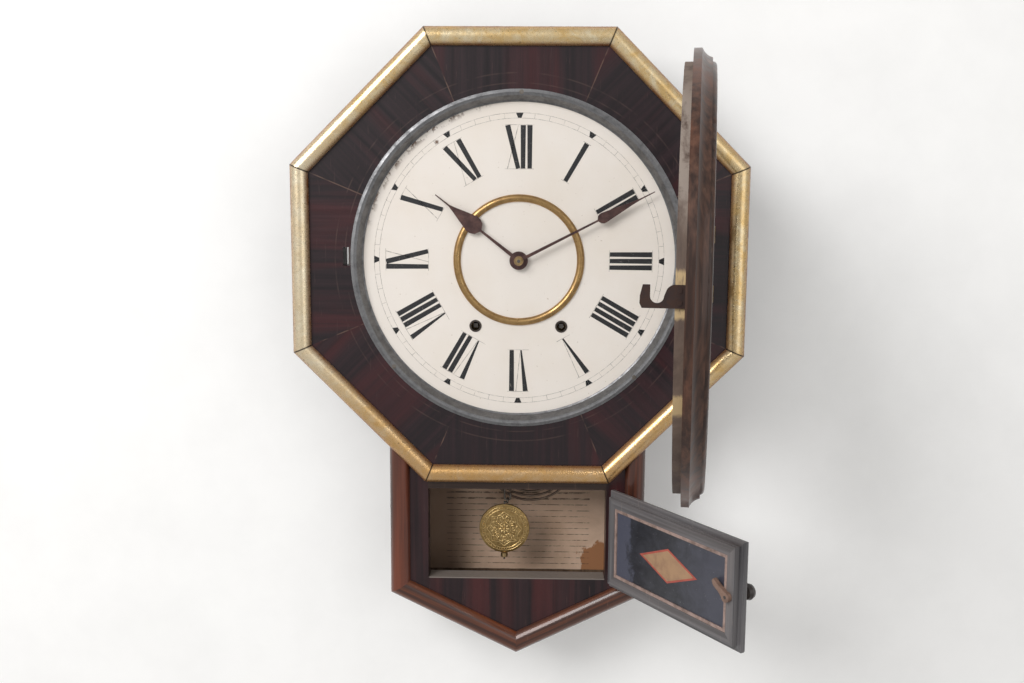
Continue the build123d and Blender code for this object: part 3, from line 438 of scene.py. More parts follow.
def bump(tree, shader, height, strength, distance):
    """Bump from a height into the shader's normal."""
    node = tree.set(tree.add("ShaderNodeBump"), Strength=strength, Distance=distance, Height=height)
    tree.set(shader, Normal=node.outputs["Normal"])


def flat_reach(t, sides):
    """Distance from the dial's axis, from separate X, Y and Z."""
    reach = t.add("ShaderNodeVectorMath", operation="LENGTH")
    t.set(reach, Vector=t.joined(X=sides["X"], Z=sides["Z"]))
    return reach.outputs["Value"]


def turned_about(t, vector, axis, angle):
    """Vector turned about an axis through the origin."""
    node = t.add("ShaderNodeVectorRotate", rotation_type=axis)
    return t.set(node, Vector=vector, Angle=angle).outputs["Vector"]


def near_value(t, value, middle, full, none):
    """Mask that is one within full of middle and fades out at none."""
    return t.spread(t.size(t.minus(value, middle)), none, full)


def member_vector(t, place):
    """Vector of the lower door's own frame, with Z along each mitred member."""
    turned = turned_about(t, t.scaled(place, place=-LOWER_PIN), "Z_AXIS", -LOWER_OPEN)
    parts = t.split(turned)
    middle = (GLASS_LOW[2] + GLASS_HIGH[2]) / 2 - LOWER_PIN[2]
    half_wide, half_high = LOWER_FRAME_HALF
    across = t.size(t.plus(parts["X"], LOWER_PIN[0]))
    up = t.size(t.minus(parts["Z"], middle))
    excess = t.minus(t.minus(across, half_wide), t.minus(up, half_high))
    choice = t.add("ShaderNodeMix", data_type="VECTOR")
    lying = t.joined(X=parts["Z"], Y=parts["Y"], Z=parts["X"])
    for place, value in ((0, t.math("GREATER_THAN", excess, 0.0)), (4, lying), (5, turned)):
        t.feed(choice.inputs[place], value)
    return choice.outputs[1]


def wood(name, dark, light, red, red_amount=0.4, worn=(0.20, 0.12, 0.08), wear=0.3, vector_of=None,
         coat=0.3, rough=None, pale_sill_top=None):
    """Polished wood with scratches and dust.

    vector_of gives the vector that the grain follows, and the sill argument gives the height of a sill whose
    top face is painted pale.
    """
    material, t, shader, place = material_start(name)
    vector = vector_of(t, place) if vector_of else place
    grain = add_group(t, "Wood grain", vector, Dark=dark, Light=light, Red=red, Red_amount=red_amount)
    marks = add_group(t, "Wear", place, Scratches=wear, Patches=wear * 0.12)
    colour = t.mix(marks.outputs["Mask"], grain.outputs["Color"], worn)
    colour = t.mix(t.times(marks.outputs["Dust"], 0.04 * wear), colour, (0.20, 0.17, 0.15))
    if pale_sill_top is not None:
        sides = t.split(place)
        top = near_value(t, sides["Z"], pale_sill_top, 0.0005, 0.0012)
        fade = 0.001
        inside = t.spread(t.size(sides["X"]), OPENING_HALF_WIDTH, OPENING_HALF_WIDTH - fade)
        # The sill's top face, inside the opening, is painted pale.
        colour = t.mix(t.times(top, inside), colour, (0.21, 0.18, 0.16))
    t.set(shader, Base_Color=colour, Roughness=grain.outputs["Roughness"] if rough is None else rough,
          Specular_IOR_Level=0.30, Coat_Weight=coat * 0.5, Coat_Roughness=0.13)
    bump(t, shader, grain.outputs["Height"], 0.12, 0.0004)
    return material


def metal(name, colour, dark, rough=0.38, tarnish=0.6, wear=0.3, speck_scale=120.0):
    """Aged metal with tarnish patches."""
    material, t, shader, place = material_start(name)
    stain = t.noise(place, speck_scale, 8.0, 0.7, 0.4)
    marks = add_group(t, "Wear", place, Scratches=wear, Patches=wear)
    mixed = t.mix(t.times(t.spread(stain, 0.42, 0.68), tarnish), colour, dark)
    bright = tuple(min(1.0, c * 1.5) for c in colour)
    mixed = t.mix(marks.outputs["Mask"], mixed, bright)
    t.set(shader, Base_Color=mixed, Metallic=1.0,
          Roughness=t.spread(stain, 0.35, 0.7, rough - 0.08, rough + 0.18))
    bump(t, shader, stain, 0.10, 0.0003)
    return material


def lying_vector(t, place):
    """Object vector turned so that the grain runs along X."""
    return t.scaled(place, turn=(0, QUARTER, 0))


def sector_vector(t, place):
    """Number of an octagon segment, and the Object vector in its own frame, with Z along the radius."""
    parts = t.split(place)
    angle = t.math("ARCTAN2", parts["X"], parts["Z"])
    turns = t.math("ROUND", t.math("DIVIDE", angle, SEGMENT_ANGLE))
    return turns, turned_about(t, place, "Y_AXIS", t.times(t.times(turns, SEGMENT_ANGLE), -1.0))


def mitre_line(t, local, full, none):
    """Mask of the mitre joints, from the vector in a segment's own frame."""
    parts = t.split(local)
    away = t.minus(t.times(parts["Z"], math.tan(SEGMENT_ANGLE / 2)), t.size(parts["X"]))
    return t.spread(t.size(away), none, full)


def veneer_material():
    """Rosewood veneer with radial grain, thin pale joints and worn rings near the dial."""
    material, t, shader, place = material_start("Rosewood veneer")
    segment, local = sector_vector(t, place)
    shifted = t.add("ShaderNodeVectorMath", operation="ADD")
    t.link(local, shifted.inputs[0])
    t.link(t.joined(X=t.times(segment, GRAIN_SHIFT)), shifted.inputs[1])
    grain = add_group(t, "Wood grain", shifted.outputs["Vector"], Dark=colours().veneer,
                      Light=(0.021, 0.0090, 0.0120), Red=(0.066, 0.012, 0.014), Red_amount=0.50)
    marks = add_group(t, "Wear", place, Scratches=0.30, Patches=0.03)
    wobble = t.noise(place, 60.0, 2.0)
    joint = t.times(t.times(mitre_line(t, local, MITRE_GAP, 0.0008), 0.55), t.spread(wobble, 0.42, 0.60))
    colour = t.mix(marks.outputs["Mask"], grain.outputs["Color"], (0.06, 0.032, 0.03))
    colour = t.mix(joint, colour, (0.16, 0.095, 0.07))
    reach = flat_reach(t, t.split(place))
    inner_ring, outer_ring = WORN_RINGS
    rings = t.math("MAXIMUM", near_value(t, reach, inner_ring, 0.0002, 0.0009),
                   near_value(t, reach, outer_ring, 0.0002, 0.0010))
    rubbed = t.times(t.times(rings, 0.32), t.spread(wobble, 0.40, 0.62))
    colour = t.mix(rubbed, colour, (0.10, 0.06, 0.05))
    t.set(shader, Base_Color=colour, Roughness=grain.outputs["Roughness"], Specular_IOR_Level=0.30,
          Coat_Weight=0.20, Coat_Roughness=0.20)
    bump(t, shader, grain.outputs["Height"], 0.12, 0.0003)
    return material


def gilt_material():
    """Gold leaf, more orange towards the bottom, with painted shade on its outer and inner sides, a painted
    highlight towards the left, dark specks and mitre gaps.
    """
    material, t, shader, place = material_start("Gold leaf")
    local = sector_vector(t, place)[1]
    joint = mitre_line(t, local, MITRE_GAP, 0.0011)
    mottle = t.noise(place, 55.0, 8.0, 0.7, 0.8)
    fine = t.noise(place, 420.0, 6.0, 0.7)
    colour = t.mix(t.spread(mottle, 0.40, 0.66), colours().gold, (0.80, 0.68, 0.46))
    low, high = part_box("gilt_mouldings")
    half = (high[0] - low[0]) / 2
    # Painted shade: the moulding's outer and inner sides are darkened towards orange-brown and made less
    # metallic.
    outward = t.split(local)["Z"]
    outer = t.spread(outward, half - 0.0045, half - 0.0005)
    inner = t.spread(outward, half - 0.0135, half - 0.0170)
    sides = t.times(t.math("MAXIMUM", outer, inner), t.spread(mottle, 0.30, 0.60, 0.45, 1.0))
    whole = t.split(place)
    # The gold is more orange towards the bottom.
    lower = t.times(t.spread(whole["Z"], -0.08, -0.20), 0.55)
    colour = t.mix(lower, colour, (0.50, 0.24, 0.075))
    # Painted highlight: the moulding is lighter, towards pale gold, on the left side.
    painted_highlight = t.times(t.spread(whole["X"], -0.150, -0.200), 0.45)
    colour = t.mix(painted_highlight, colour, (0.86, 0.80, 0.66))
    # Painted shade on the moulding's outer and inner sides.
    colour = t.mix(sides, colour, (0.24, 0.095, 0.030))
    colour = t.mix(t.spread(fine, 0.64, 0.70), colour, (0.06, 0.035, 0.02))
    colour = t.mix(t.times(joint, 0.95), colour, (0.02, 0.012, 0.01))
    t.set(shader, Base_Color=colour, Metallic=t.spread(sides, 0.0, 1.0, 0.85, 0.25),
          Roughness=t.spread(fine, 0.3, 0.7, 0.20, 0.40))
    bump(t, shader, fine, 0.2, 0.0004)
    return material


def dial_material():
    """Warm off-white paint with faint stains, a brown spot and a few chips at the rim."""
    material, t, shader, place = material_start("Dial paint")
    cloud = t.noise(place, 14.0, 6.0, 0.6)
    colour = t.mix(t.spread(cloud, 0.42, 0.70, 0.0, 0.5), colours().dial, (0.74, 0.66, 0.57))
    speck = t.noise(place, 330.0, 3.0, 0.5)
    colour = t.mix(t.spread(speck, 0.70, 0.74, 0.0, 0.5), colour, (0.45, 0.36, 0.28))
    sides = t.split(place)
    rim = t.spread(flat_reach(t, sides), *DIAL_RIM)
    chip = t.times(rim, t.spread(t.noise(place, 95.0, 6.0, 0.7), 0.50, 0.54))
    corner = t.spread(t.minus(sides["Z"], sides["X"]), 0.170, 0.205)
    chip = t.times(chip, corner)
    spot = [near_value(t, sides[axis], middle, 0.0008, 0.0024) for axis, middle in zip("XZ", DIAL_SPOT)]
    chip = t.math("MAXIMUM", chip, t.times(*spot))
    colour = t.mix(chip, colour, (0.16, 0.10, 0.07))
    t.set(shader, Base_Color=colour, Roughness=0.42)
    bump(t, shader, cloud, 0.05, 0.0004)
    return material


def ink_material():
    """Black dial ink."""
    material, t, shader, place = material_start("Dial ink")
    worn = t.noise(place, 300.0, 6.0, 0.7)
    colour = t.mix(t.spread(worn, 0.60, 0.72, 0.0, 0.35), colours().ink, (0.35, 0.31, 0.28))
    t.set(shader, Base_Color=colour, Roughness=0.5)
    return material


def faint_ink_material():
    """Worn grey hairlines."""
    material, t, shader, place = material_start("Worn hairline")
    worn = t.noise(place, 210.0, 6.0, 0.7)
    colour = t.mix(t.spread(worn, 0.40, 0.62), (0.24, 0.22, 0.20), (0.66, 0.61, 0.55))
    t.set(shader, Base_Color=colour, Roughness=0.55)
    return material


def label_material():
    """Aged paper with a painted shadow on its left side, a brown corner and plain rules in place of its
    print.
    """
    material, t, shader, place = material_start("Label paper")
    cloud = t.noise(place, 16.0, 8.0, 0.7, 0.5)
    fine = t.noise(place, 160.0, 6.0, 0.7)
    colour = t.mix(t.spread(cloud, 0.38, 0.66), (0.80, 0.57, 0.42), (0.62, 0.42, 0.29))
    sides = t.split(place)
    across = sides["X"]
    height = sides["Z"]
    # Painted shadow: the label's left side is darkened to brown, fading out towards the middle.
    left = t.spread(across, *(LABEL_LOW[0] + reach for reach in LABEL_PAINTED_SHADOW))
    colour = t.mix(t.times(left, 0.8), colour, (0.14, 0.08, 0.05))
    corner = t.plus(t.spread(across, 0.046, 0.086), t.spread(height, -0.292, -0.322))
    ragged = t.plus(corner, t.spread(cloud, 0.30, 0.70, -0.35, 0.35))
    colour = t.mix(t.spread(ragged, 1.50, 1.55), colour, (0.42, 0.19, 0.085))
    top = LABEL_HIGH[2]
    rows = t.math("FRACT", t.math("DIVIDE", t.minus(top + 1.0, height), LABEL_PITCH))
    heavy = t.spread(height, top - LABEL_HEADING, top - LABEL_HEADING + 0.006, 0.06, 0.15)
    rule = t.math("LESS_THAN", t.size(t.minus(rows, 0.5)), heavy)
    dashes = t.noise(place, (95.0, 95.0, 620.0), 3.0, 0.6)
    inside = t.spread(t.size(across), LABEL_PRINT_HALF, LABEL_PRINT_HALF - 0.001)
    worn = t.times(t.spread(fine, 0.38, 0.52), t.spread(dashes, 0.40, 0.48, 0.15, 0.8))
    rule = t.times(t.times(rule, inside), worn)
    colour = t.mix(rule, colour, (0.07, 0.05, 0.035))
    t.set(shader, Base_Color=colour, Roughness=0.85)
    bump(t, shader, fine, 0.1, 0.0003)
    return material


def back_ring_material():
    """Dark wood behind the dial door, with two bare places and a pale streak."""
    material, t, shader, place = material_start("Door back wood")
    sides = t.split(place)
    cloud = t.noise(place, (30.0, 30.0, 12.0), 8.0, 0.7, 0.5)
    fine = t.noise(place, (300.0, 300.0, 60.0), 6.0, 0.7)
    colour = t.mix(t.spread(cloud, 0.40, 0.60), (0.085, 0.056, 0.044), (0.17, 0.118, 0.088))
    height = t.plus(sides["Z"], t.spread(cloud, 0.3, 0.7, -0.004, 0.004))
    upper = near_value(t, height, 0.004, 0.014, 0.017)
    lower = near_value(t, height, -0.0695, 0.006, 0.009)
    bare = t.times(t.math("MAXIMUM", upper, lower), t.spread(fine, 0.30, 0.46))
    streak = t.times(near_value(t, height, 0.100, 0.030, 0.060), t.spread(cloud, 0.44, 0.56))
    colour = t.mix(t.times(streak, 0.7), colour, (0.34, 0.29, 0.25))
    colour = t.mix(bare, colour, (0.50, 0.36, 0.19))
    t.set(shader, Base_Color=colour, Roughness=0.7)
    bump(t, shader, fine, 0.25, 0.0005)
    return material


def glass_material():
    """Clear glass."""
    material, t, shader = material_start("Clear glass")[:3]
    t.set(shader, Base_Color=(0.95, 0.97, 0.96), Roughness=0.03, Transmission_Weight=1.0, IOR=1.45)
    return material


def tablet_material():
    """Black paint behind the lower glass, flaked to blue grey along the hinge side."""
    material, t, shader, place = material_start("Painted glass")
    cloud = t.noise(place, 60.0, 8.0, 0.7, 0.6)
    fine = t.noise(place, 500.0, 4.0, 0.6)
    sides = t.split(place)
    near = t.plus(sides["X"], t.spread(cloud, 0.3, 0.7, -0.006, 0.006))
    flaked = t.spread(near, *(GLASS_LOW[0] + reach for reach in TABLET_FLAKED))
    colour = t.mix(t.spread(cloud, 0.4, 0.7), (0.012, 0.013, 0.018), (0.035, 0.037, 0.048))
    far = t.times(t.spread(near, *(GLASS_HIGH[0] - reach for reach in TABLET_FADED)), 0.6)
    colour = t.mix(far, colour, (0.060, 0.062, 0.090))
    colour = t.mix(t.times(flaked, 0.8), colour, (0.085, 0.090, 0.125))
    colour = t.mix(t.spread(fine, 0.68, 0.72, 0.0, 0.6), colour, (0.26, 0.25, 0.26))
    t.set(shader, Base_Color=colour, Roughness=0.30)
    return material


def plain(name, colour, rough=0.5, speck=None, metallic=0.0):
    """Simple finish with a soft mottle towards a second colour."""
    material, t, shader, place = material_start(name)
    second = speck or tuple(c * 0.6 for c in colour)
    cloud = t.noise(place, 110.0, 8.0, 0.7)
    t.set(shader, Base_Color=t.mix(t.spread(cloud, 0.42, 0.66), colour, second), Roughness=rough,
          Metallic=metallic)
    bump(t, shader, cloud, 0.08, 0.0003)
    return material


class WALLCLOCK_OT_finishes(bpy.types.Operator):
    """Gives every built piece its finish"""

    bl_idname = "wallclock.finishes"
    bl_label = "Finish the built pieces"

    def execute(self, context):
        GROUPS["Wood grain"] = grain_group()
        GROUPS["Wear"] = wear_group()
        case_wood = wood(
            "Dark board wood", (0.016, 0.008, 0.007), (0.05, 0.024, 0.018), (0.07, 0.02, 0.015), 0.3)
        dress("case_top case_side_left case_side_right case_bottom_boards", case_wood)
        bare = wood("Backboard wood", (0.07, 0.042, 0.026), (0.16, 0.10, 0.06), (0.14, 0.07, 0.04), 0.3,
                    coat=0.0, rough=0.8)
        dress("backboard", bare)
        dress("octagon_segments", veneer_material())
        dress("gilt_mouldings", gilt_material())
        drop = wood("Drop front veneer", (0.010, 0.0046, 0.0062), (0.025, 0.0100, 0.0120),
                    (0.068, 0.013, 0.013), 0.65, worn=(0.07, 0.035, 0.03), wear=0.4, pale_sill_top=OPENING_BOTTOM)
        dress("drop_apron drop_stile_left drop_stile_right", drop)
        rail = wood("Top rail wood", (0.02, 0.011, 0.008), (0.05, 0.028, 0.02), (0.06, 0.02, 0.014), 0.3,
                    vector_of=lying_vector)
        dress("drop_top_rail", rail)
        upright = wood("Upright moulding wood", (0.028, 0.0085, 0.0050), (0.100, 0.027, 0.012),
                       (0.170, 0.038, 0.015), 0.7, worn=(0.16, 0.07, 0.04), coat=1.4)
        dress("drop_moulding_left drop_moulding_right", upright)
        slope = math.atan2(DROP_POINT_HEIGHT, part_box("case_bottom_boards")[1][0])
        for name, side in (("left", 1), ("right", -1)):
            def along_moulding(t, place, side=side):
                return t.scaled(place, turn=(0, QUARTER - side * slope, 0))
            lower = wood("Lower moulding wood " + name, (0.038, 0.0110, 0.0055), (0.150, 0.041, 0.014),
                         (0.230, 0.056, 0.019), 0.7, worn=(0.19, 0.085, 0.05), coat=1.4,
                         vector_of=along_moulding)
            dress("drop_moulding_lower_" + name, lower)
        dress("dial_plate", dial_material())
        dress("dial_surround", metal("Pewter", (0.21, 0.21, 0.215), (0.095, 0.095, 0.098), 0.45, 0.6, 0.25))
        dress("surround_screws hanger_screws",
              metal("Screw steel", (0.20, 0.18, 0.16), (0.07, 0.055, 0.045), 0.5))
        dress("dial_ring", metal("Ring brass", (0.44, 0.28, 0.12), (0.17, 0.095, 0.045), 0.32, 0.6, 0.4))
        works = metal("Movement brass", (0.52, 0.36, 0.16), (0.26, 0.16, 0.07), 0.4)
        dress("movement_back_plate movement_front_plate movement_pillars minute_wheel hour_pipe "
              "escape_wheel suspension_post", works)
        dress("rating_nut", metal("Nut brass", (0.50, 0.36, 0.18), (0.2, 0.13, 0.07), 0.35))
        dress("hand_nut", metal("Hand nut brass", (0.46, 0.34, 0.18), (0.16, 0.10, 0.06), 0.35))
        bob = metal("Bob brass", (0.40, 0.27, 0.11), (0.12, 0.065, 0.022), 0.30, 0.8, 0.3, 260.0)
        dress("pendulum_bob", bob)
        steel = metal("Aged steel", (0.15, 0.14, 0.13), (0.07, 0.055, 0.05), 0.45)
        dress("centre_arbor verge strike_hammer catch_keeper hanger_plate movement_feet "
              "winding_arbor_left winding_arbor_right", steel)
        hook = metal("Hook steel", (0.055, 0.040, 0.038), (0.10, 0.055, 0.04), 0.55, 0.6, 0.2)
        dress("catch_hook catch_screws", hook)
        dress("pendulum_rod bob_wire", metal("Wire steel", (0.16, 0.14, 0.12), (0.07, 0.05, 0.04), 0.45))
        dress("mainsprings", metal("Spring steel", (0.16, 0.17, 0.22), (0.08, 0.08, 0.10), 0.4))
        dress("gong_coil", metal("Gong wire", (0.24, 0.18, 0.14), (0.10, 0.07, 0.055), 0.42))
        dress("gong_bracket", plain("Gong iron", (0.025, 0.023, 0.022), 0.6))
        hinge = metal("Hinge brass", (0.28, 0.20, 0.11), (0.10, 0.065, 0.04), 0.5)
        dress("dial_hinge_brackets dial_hinge_straps lower_hinge_plates lower_hinge_leaves", hinge)
        hand = plain("Hand steel", (0.062, 0.032, 0.031), 0.36, (0.13, 0.068, 0.058), 0.4)
        dress("hour_hand minute_hand", hand)
        dress("paper_label", label_material())
        door = wood("Dial door wood", (0.028, 0.0130, 0.0090), (0.090, 0.041, 0.025),
                    (0.165, 0.060, 0.032), 0.6, worn=(0.15, 0.085, 0.055), coat=0.4)
        dress("dial_door_ring", door)
        dress("dial_door_back_ring", back_ring_material())
        dress("dial_glass", glass_material())
        frame_wood = wood("Lower door wood", (0.075, 0.073, 0.077), (0.185, 0.180, 0.186),
                          (0.150, 0.115, 0.105), 0.3, worn=(0.24, 0.20, 0.18), wear=0.4, coat=0.05,
                          vector_of=member_vector)
        dress("lower_door_frame", frame_wood)
        dress("tablet_beads", plain("Bead wood", (0.34, 0.24, 0.21), 0.75, (0.16, 0.11, 0.09)))
        dress("tablet_glass", tablet_material())
        dress("latch_knob", plain("Dark knob", (0.022, 0.018, 0.018), 0.32, (0.05, 0.035, 0.03)))
        dress("turn_button", plain("Button wood", (0.22, 0.135, 0.10), 0.6, (0.11, 0.065, 0.048)))
        return {"FINISHED"}


NUMERALS = ("I", "II", "III", "IIII", "V", "VI", "VII", "VIII", "IX", "X", "XI", "XII")
STROKE_GAP = 0.0064
V_SPREAD = 0.0105
LETTER_WIDTHS = {"I": STROKE_GAP, "V": V_SPREAD + STROKE_GAP * 0.35, "X": V_SPREAD + STROKE_GAP * 0.45}
# Share of a dark stroke's width at its inner end, and at the outer end of all.
INNER_SHARES = {"thick": 0.92, "pointed": 0.30}
OUTER_SHARE = 1.08
STROKE_END_GAP = 0.0008
SERIF_OVERHANG = 0.002
SERIF_SHARE = 0.7
HOUR_MARK_WIDTHS = (0.0032, 0.0074)


def numeral_strokes(text):
    """Strokes of one numeral as kind, inner x, outer x and width, with x across it, and its whole width."""
    s = sizes()
    total = sum(LETTER_WIDTHS[letter] for letter in text)
    x = -total / 2
    half = V_SPREAD / 2
    strokes = []
    for letter in text:
        middle = x + LETTER_WIDTHS[letter] / 2
        if letter == "I":
            strokes.append(("thick", middle, middle, s.thick_stroke))
        elif letter == "V":
            strokes.append(("pointed", middle + 0.0004, middle - half + 0.001, s.thick_stroke))
            strokes.append(("thin", middle + 0.001, middle + half, s.thin_stroke))
        else:
            strokes.append(("thick", middle + half, middle - half, s.thick_stroke))
            strokes.append(("thin", middle - half, middle + half, s.thin_stroke))
        x += LETTER_WIDTHS[letter]
    return strokes, total


def on_dial(angle, radius, across=0.0):
    """Place in the print at an angle clockwise from twelve, a radius and a distance across it."""
    sine = math.sin(angle)
    cosine = math.cos(angle)
    y = DIAL_FACE - PRINT_LIFT / 2
    return Vector((across * cosine + radius * sine, y, radius * cosine - across * sine))


class WALLCLOCK_OT_dial_print(bpy.types.Operator):
    """Prints the Roman numerals and the minute track on the dial"""

    bl_idname = "wallclock.dial_print"
    bl_label = "Print the dial"

    def execute(self, context):
        s = sizes()
        black = []
        faint = []
        length = s.numeral_outer - s.numeral_inner
        middle = (s.numeral_outer + s.numeral_inner) / 2
        track_middle = s.track_radius - s.track_width / 2
        for hour, text in enumerate(NUMERALS, 1):
            angle = math.radians(30.0 * hour)
            strokes, total = numeral_strokes(text)
            for kind, x_inner, x_outer, width in strokes:
                lean = math.atan2(x_outer - x_inner, length)
                reach = length / math.cos(lean)
                place = on_dial(angle, middle, (x_inner + x_outer) / 2)
                if kind in INNER_SHARES:
                    widths = (width * INNER_SHARES[kind], width * OUTER_SHARE)
                    black.append(bar("Stroke", reach - STROKE_END_GAP, *widths, place, angle + lean))
                else:
                    faint.append(bar("Hairline", reach, width, width, place, angle + lean))
            serif = (total + SERIF_OVERHANG,) * 2
            for radius in (s.numeral_inner, s.numeral_outer):
                faint.append(bar("Serif", s.thin_stroke * SERIF_SHARE, *serif, on_dial(angle, radius), angle))
            place = on_dial(angle, track_middle)
            black.append(bar("Hour mark", s.track_width, *HOUR_MARK_WIDTHS, place, angle))
        for minute in range(60):
            angle = math.radians(6.0 * minute)
            place = on_dial(angle, track_middle)
            faint.append(bar("Tick", s.track_width, s.track_line, s.track_line, place, angle))
        centre = (0, DIAL_FACE, 0)
        for radius in (s.track_radius, s.track_radius - s.track_width):
            faint.append(flat_ring("Track line", radius, radius - s.track_line, PRINT_LIFT, centre))
        finish_piece(join("dial_numerals", black), ink_material(), "case")
        finish_piece(join("dial_track", faint), faint_ink_material(), "case")
        return {"FINISHED"}


EYELET_OUTER = 0.0060
EYELET_INNER = 0.0043
EYELET_HEIGHT = 0.0005


class WALLCLOCK_OT_dial_details(bpy.types.Operator):
    """Adds the steel eyelets of the winding holes"""

    bl_idname = "wallclock.dial_details"
    bl_label = "Add the dial's small pieces"

    def execute(self, context):
        eyelet = metal("Eyelet steel", (0.10, 0.085, 0.075), (0.04, 0.03, 0.028), 0.5)
        rings = []
        for name in ("winding_arbor_left", "winding_arbor_right"):
            low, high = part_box(name)
            centre = ((low[0] + high[0]) / 2, DIAL_FACE, (low[2] + high[2]) / 2)
            rings.append(flat_ring("Eyelet", EYELET_OUTER, EYELET_INNER, EYELET_HEIGHT, centre, 48))
        finish_piece(join("winding_eyelets", rings), eyelet, "case")
        return {"FINISHED"}


BOB_RADIUS = (BOB_HIGH[0] - BOB_LOW[0]) / 2
# The bob's front is nearly flat up to a share of its radius, and then slopes back.
BOB_FLAT_SHARE = 0.55
BOB_SLOPE_SHARE = 0.31
BOB_FLAT_DROP = 0.00032
BOB_SLOPE_DROP = 0.0012
BEADS = 56
BEAD_CIRCLE = 0.0219
# Radius and half thickness of the plain hoops and of the two that are drawn in between cusps.
HOOPS = ((0.0233, 0.00045), (0.0205, 0.00055), (0.0066, 0.0004))
CUSPED_HOOPS = ((0.0182, 0.0007), (0.0155, 0.0004))
CUSP_SAG = 0.17
PETALS = 8
EYE_CIRCLE = 0.0098
# Inner radius, outer radius, turn from the petal's direction, width, height and lean of the leaves.
LEAVES = ((0.0108, 0.0150, -0.17, 0.0014, 0.0010, -0.7), (0.0108, 0.0150, 0.17, 0.0014, 0.0010, 0.7),
          (0.0072, 0.0112, math.pi / PETALS, 0.0013, 0.0010, 0.0), (0.0018, 0.0056, 0.0, 0.0023, 0.0012, 0.0))


def on_bob(radius, angle, depth_radius=None):
    """Place on the bob's face, from its front slopes, at an angle clockwise from the top."""
    share = (radius if depth_radius is None else depth_radius) / BOB_RADIUS
    drop = BOB_FLAT_DROP * min(share / BOB_FLAT_SHARE, 1.0)
    drop += max(share - BOB_FLAT_SHARE, 0.0) / BOB_SLOPE_SHARE * BOB_SLOPE_DROP
    x = (BOB_LOW[0] + BOB_HIGH[0]) / 2
    z = (BOB_LOW[2] + BOB_HIGH[2]) / 2
    return (x + radius * math.sin(angle), BOB_LOW[1] + drop, z + radius * math.cos(angle))


def ball(radius, angle, size):
    """Small ball on the bob."""
    clear_selection()
    place = on_bob(radius, angle)
    bpy.ops.mesh.primitive_uv_sphere_add(segments=10, ring_count=6, radius=size, location=place)
    return settle("Bead")


def hoop(radius, size, middle=0.0, angle=0.0, cusps=0):
    """Ring round the bob's centre or round a point on it, drawn in between its cusps."""
    clear_selection()
    bpy.ops.mesh.primitive_torus_add(
        major_radius=radius, minor_radius=size, major_segments=160 if cusps else 64, minor_segments=8)
    piece = bpy.context.object
    for vertex in piece.data.vertices:
        around = math.atan2(vertex.co.x, vertex.co.y)
        pull = 1.0 - CUSP_SAG * abs(math.sin(cusps * around / 2))
        vertex.co.x *= pull
        vertex.co.y *= pull
    piece.rotation_euler = (QUARTER, 0, 0)
    piece.location = on_bob(middle, angle, max(radius, middle))
    return settle("Hoop")


def leaf(inner, outer, angle, width, height, lean):
    """Leaf on the bob, along the radius or leaning from it."""
    clear_selection()
    bpy.ops.mesh.primitive_uv_sphere_add(segments=12, ring_count=8, radius=0.5)
    piece = bpy.context.object
    piece.scale = (width, height, outer - inner)
    piece.rotation_euler = (0, angle + lean, 0)
    piece.location = on_bob((inner + outer) / 2, angle)
    return settle("Leaf")


class WALLCLOCK_OT_bob_relief(bpy.types.Operator):
    """Embosses the bob with a bead band, a ring, a star rosette and a centre flower"""

    bl_idname = "wallclock.bob_relief"
    bl_label = "Emboss the bob"

    def execute(self, context):
        pieces = [ball(BEAD_CIRCLE, 2 * math.pi * k / BEADS, sizes().bead_radius) for k in range(BEADS)]
        pieces += [hoop(radius, size) for radius, size in HOOPS]
        pieces += [hoop(radius, size, cusps=PETALS) for radius, size in CUSPED_HOOPS]
        for k in range(PETALS):
            angle = 2 * math.pi * k / PETALS
            pieces.append(hoop(0.0017, 0.0005, EYE_CIRCLE, angle))
            pieces.append(ball(EYE_CIRCLE, angle, 0.0007))
            for inner, outer, turn, width, height, lean in LEAVES:
                pieces.append(leaf(inner, outer, angle + turn, width, height, lean))
        pieces.append(ball(0.0, 0.0, 0.0015))
        brass = metal("Relief brass", (0.62, 0.45, 0.21), (0.28, 0.17, 0.07), 0.26, 0.4, 0.4, 300.0)
        select_only(finish_piece(join("bob_relief", pieces), brass, "pendulum"))
        bpy.ops.object.shade_smooth()
        return {"FINISHED"}


DIAMOND_HALF_WIDTH = 0.0410
DIAMOND_HALF_HEIGHT = 0.0166
DIAMOND_RAISE = 0.0005
PAINT_THICKNESS = 0.0001
# Name, share of the diamond's size, lift from the glass and two colours.
DIAMONDS = (("tablet_diamond", 0.88, 0.00010, (0.37, 0.225, 0.125), (0.29, 0.17, 0.10)),
            ("tablet_diamond_edge", 1.0, 0.00004, (0.42, 0.085, 0.06), (0.30, 0.06, 0.045)))


class WALLCLOCK_OT_tablet_design(bpy.types.Operator):
    """Paints the diamond with its red outline inside the lower door's glass"""

    bl_idname = "wallclock.tablet_design"
    bl_label = "Paint the lower glass"

    def execute(self, context):
        middle_z = (GLASS_LOW[2] + GLASS_HIGH[2]) / 2 + DIAMOND_RAISE
        for name, share, lift, colour, speck in DIAMONDS:
            clear_selection()
            bpy.ops.mesh.primitive_cylinder_add(vertices=4, radius=1.0, depth=1.0)
            piece = bpy.context.object
            piece.rotation_euler = (QUARTER, 0, 0)
            bpy.ops.object.transform_apply(location=False, rotation=True, scale=False)
            piece.scale = (DIAMOND_HALF_WIDTH * share, PAINT_THICKNESS, DIAMOND_HALF_HEIGHT * share)
            piece.location = (0.0, TABLET_INNER_FACE + PAINT_THICKNESS / 2 + lift, middle_z)
            settle(name)
            turn_with_door(piece, LOWER_PIN, LOWER_OPEN)
            finish_piece(piece, plain("Paint " + name, colour, 0.55, speck), "lower_door")
        return {"FINISHED"}


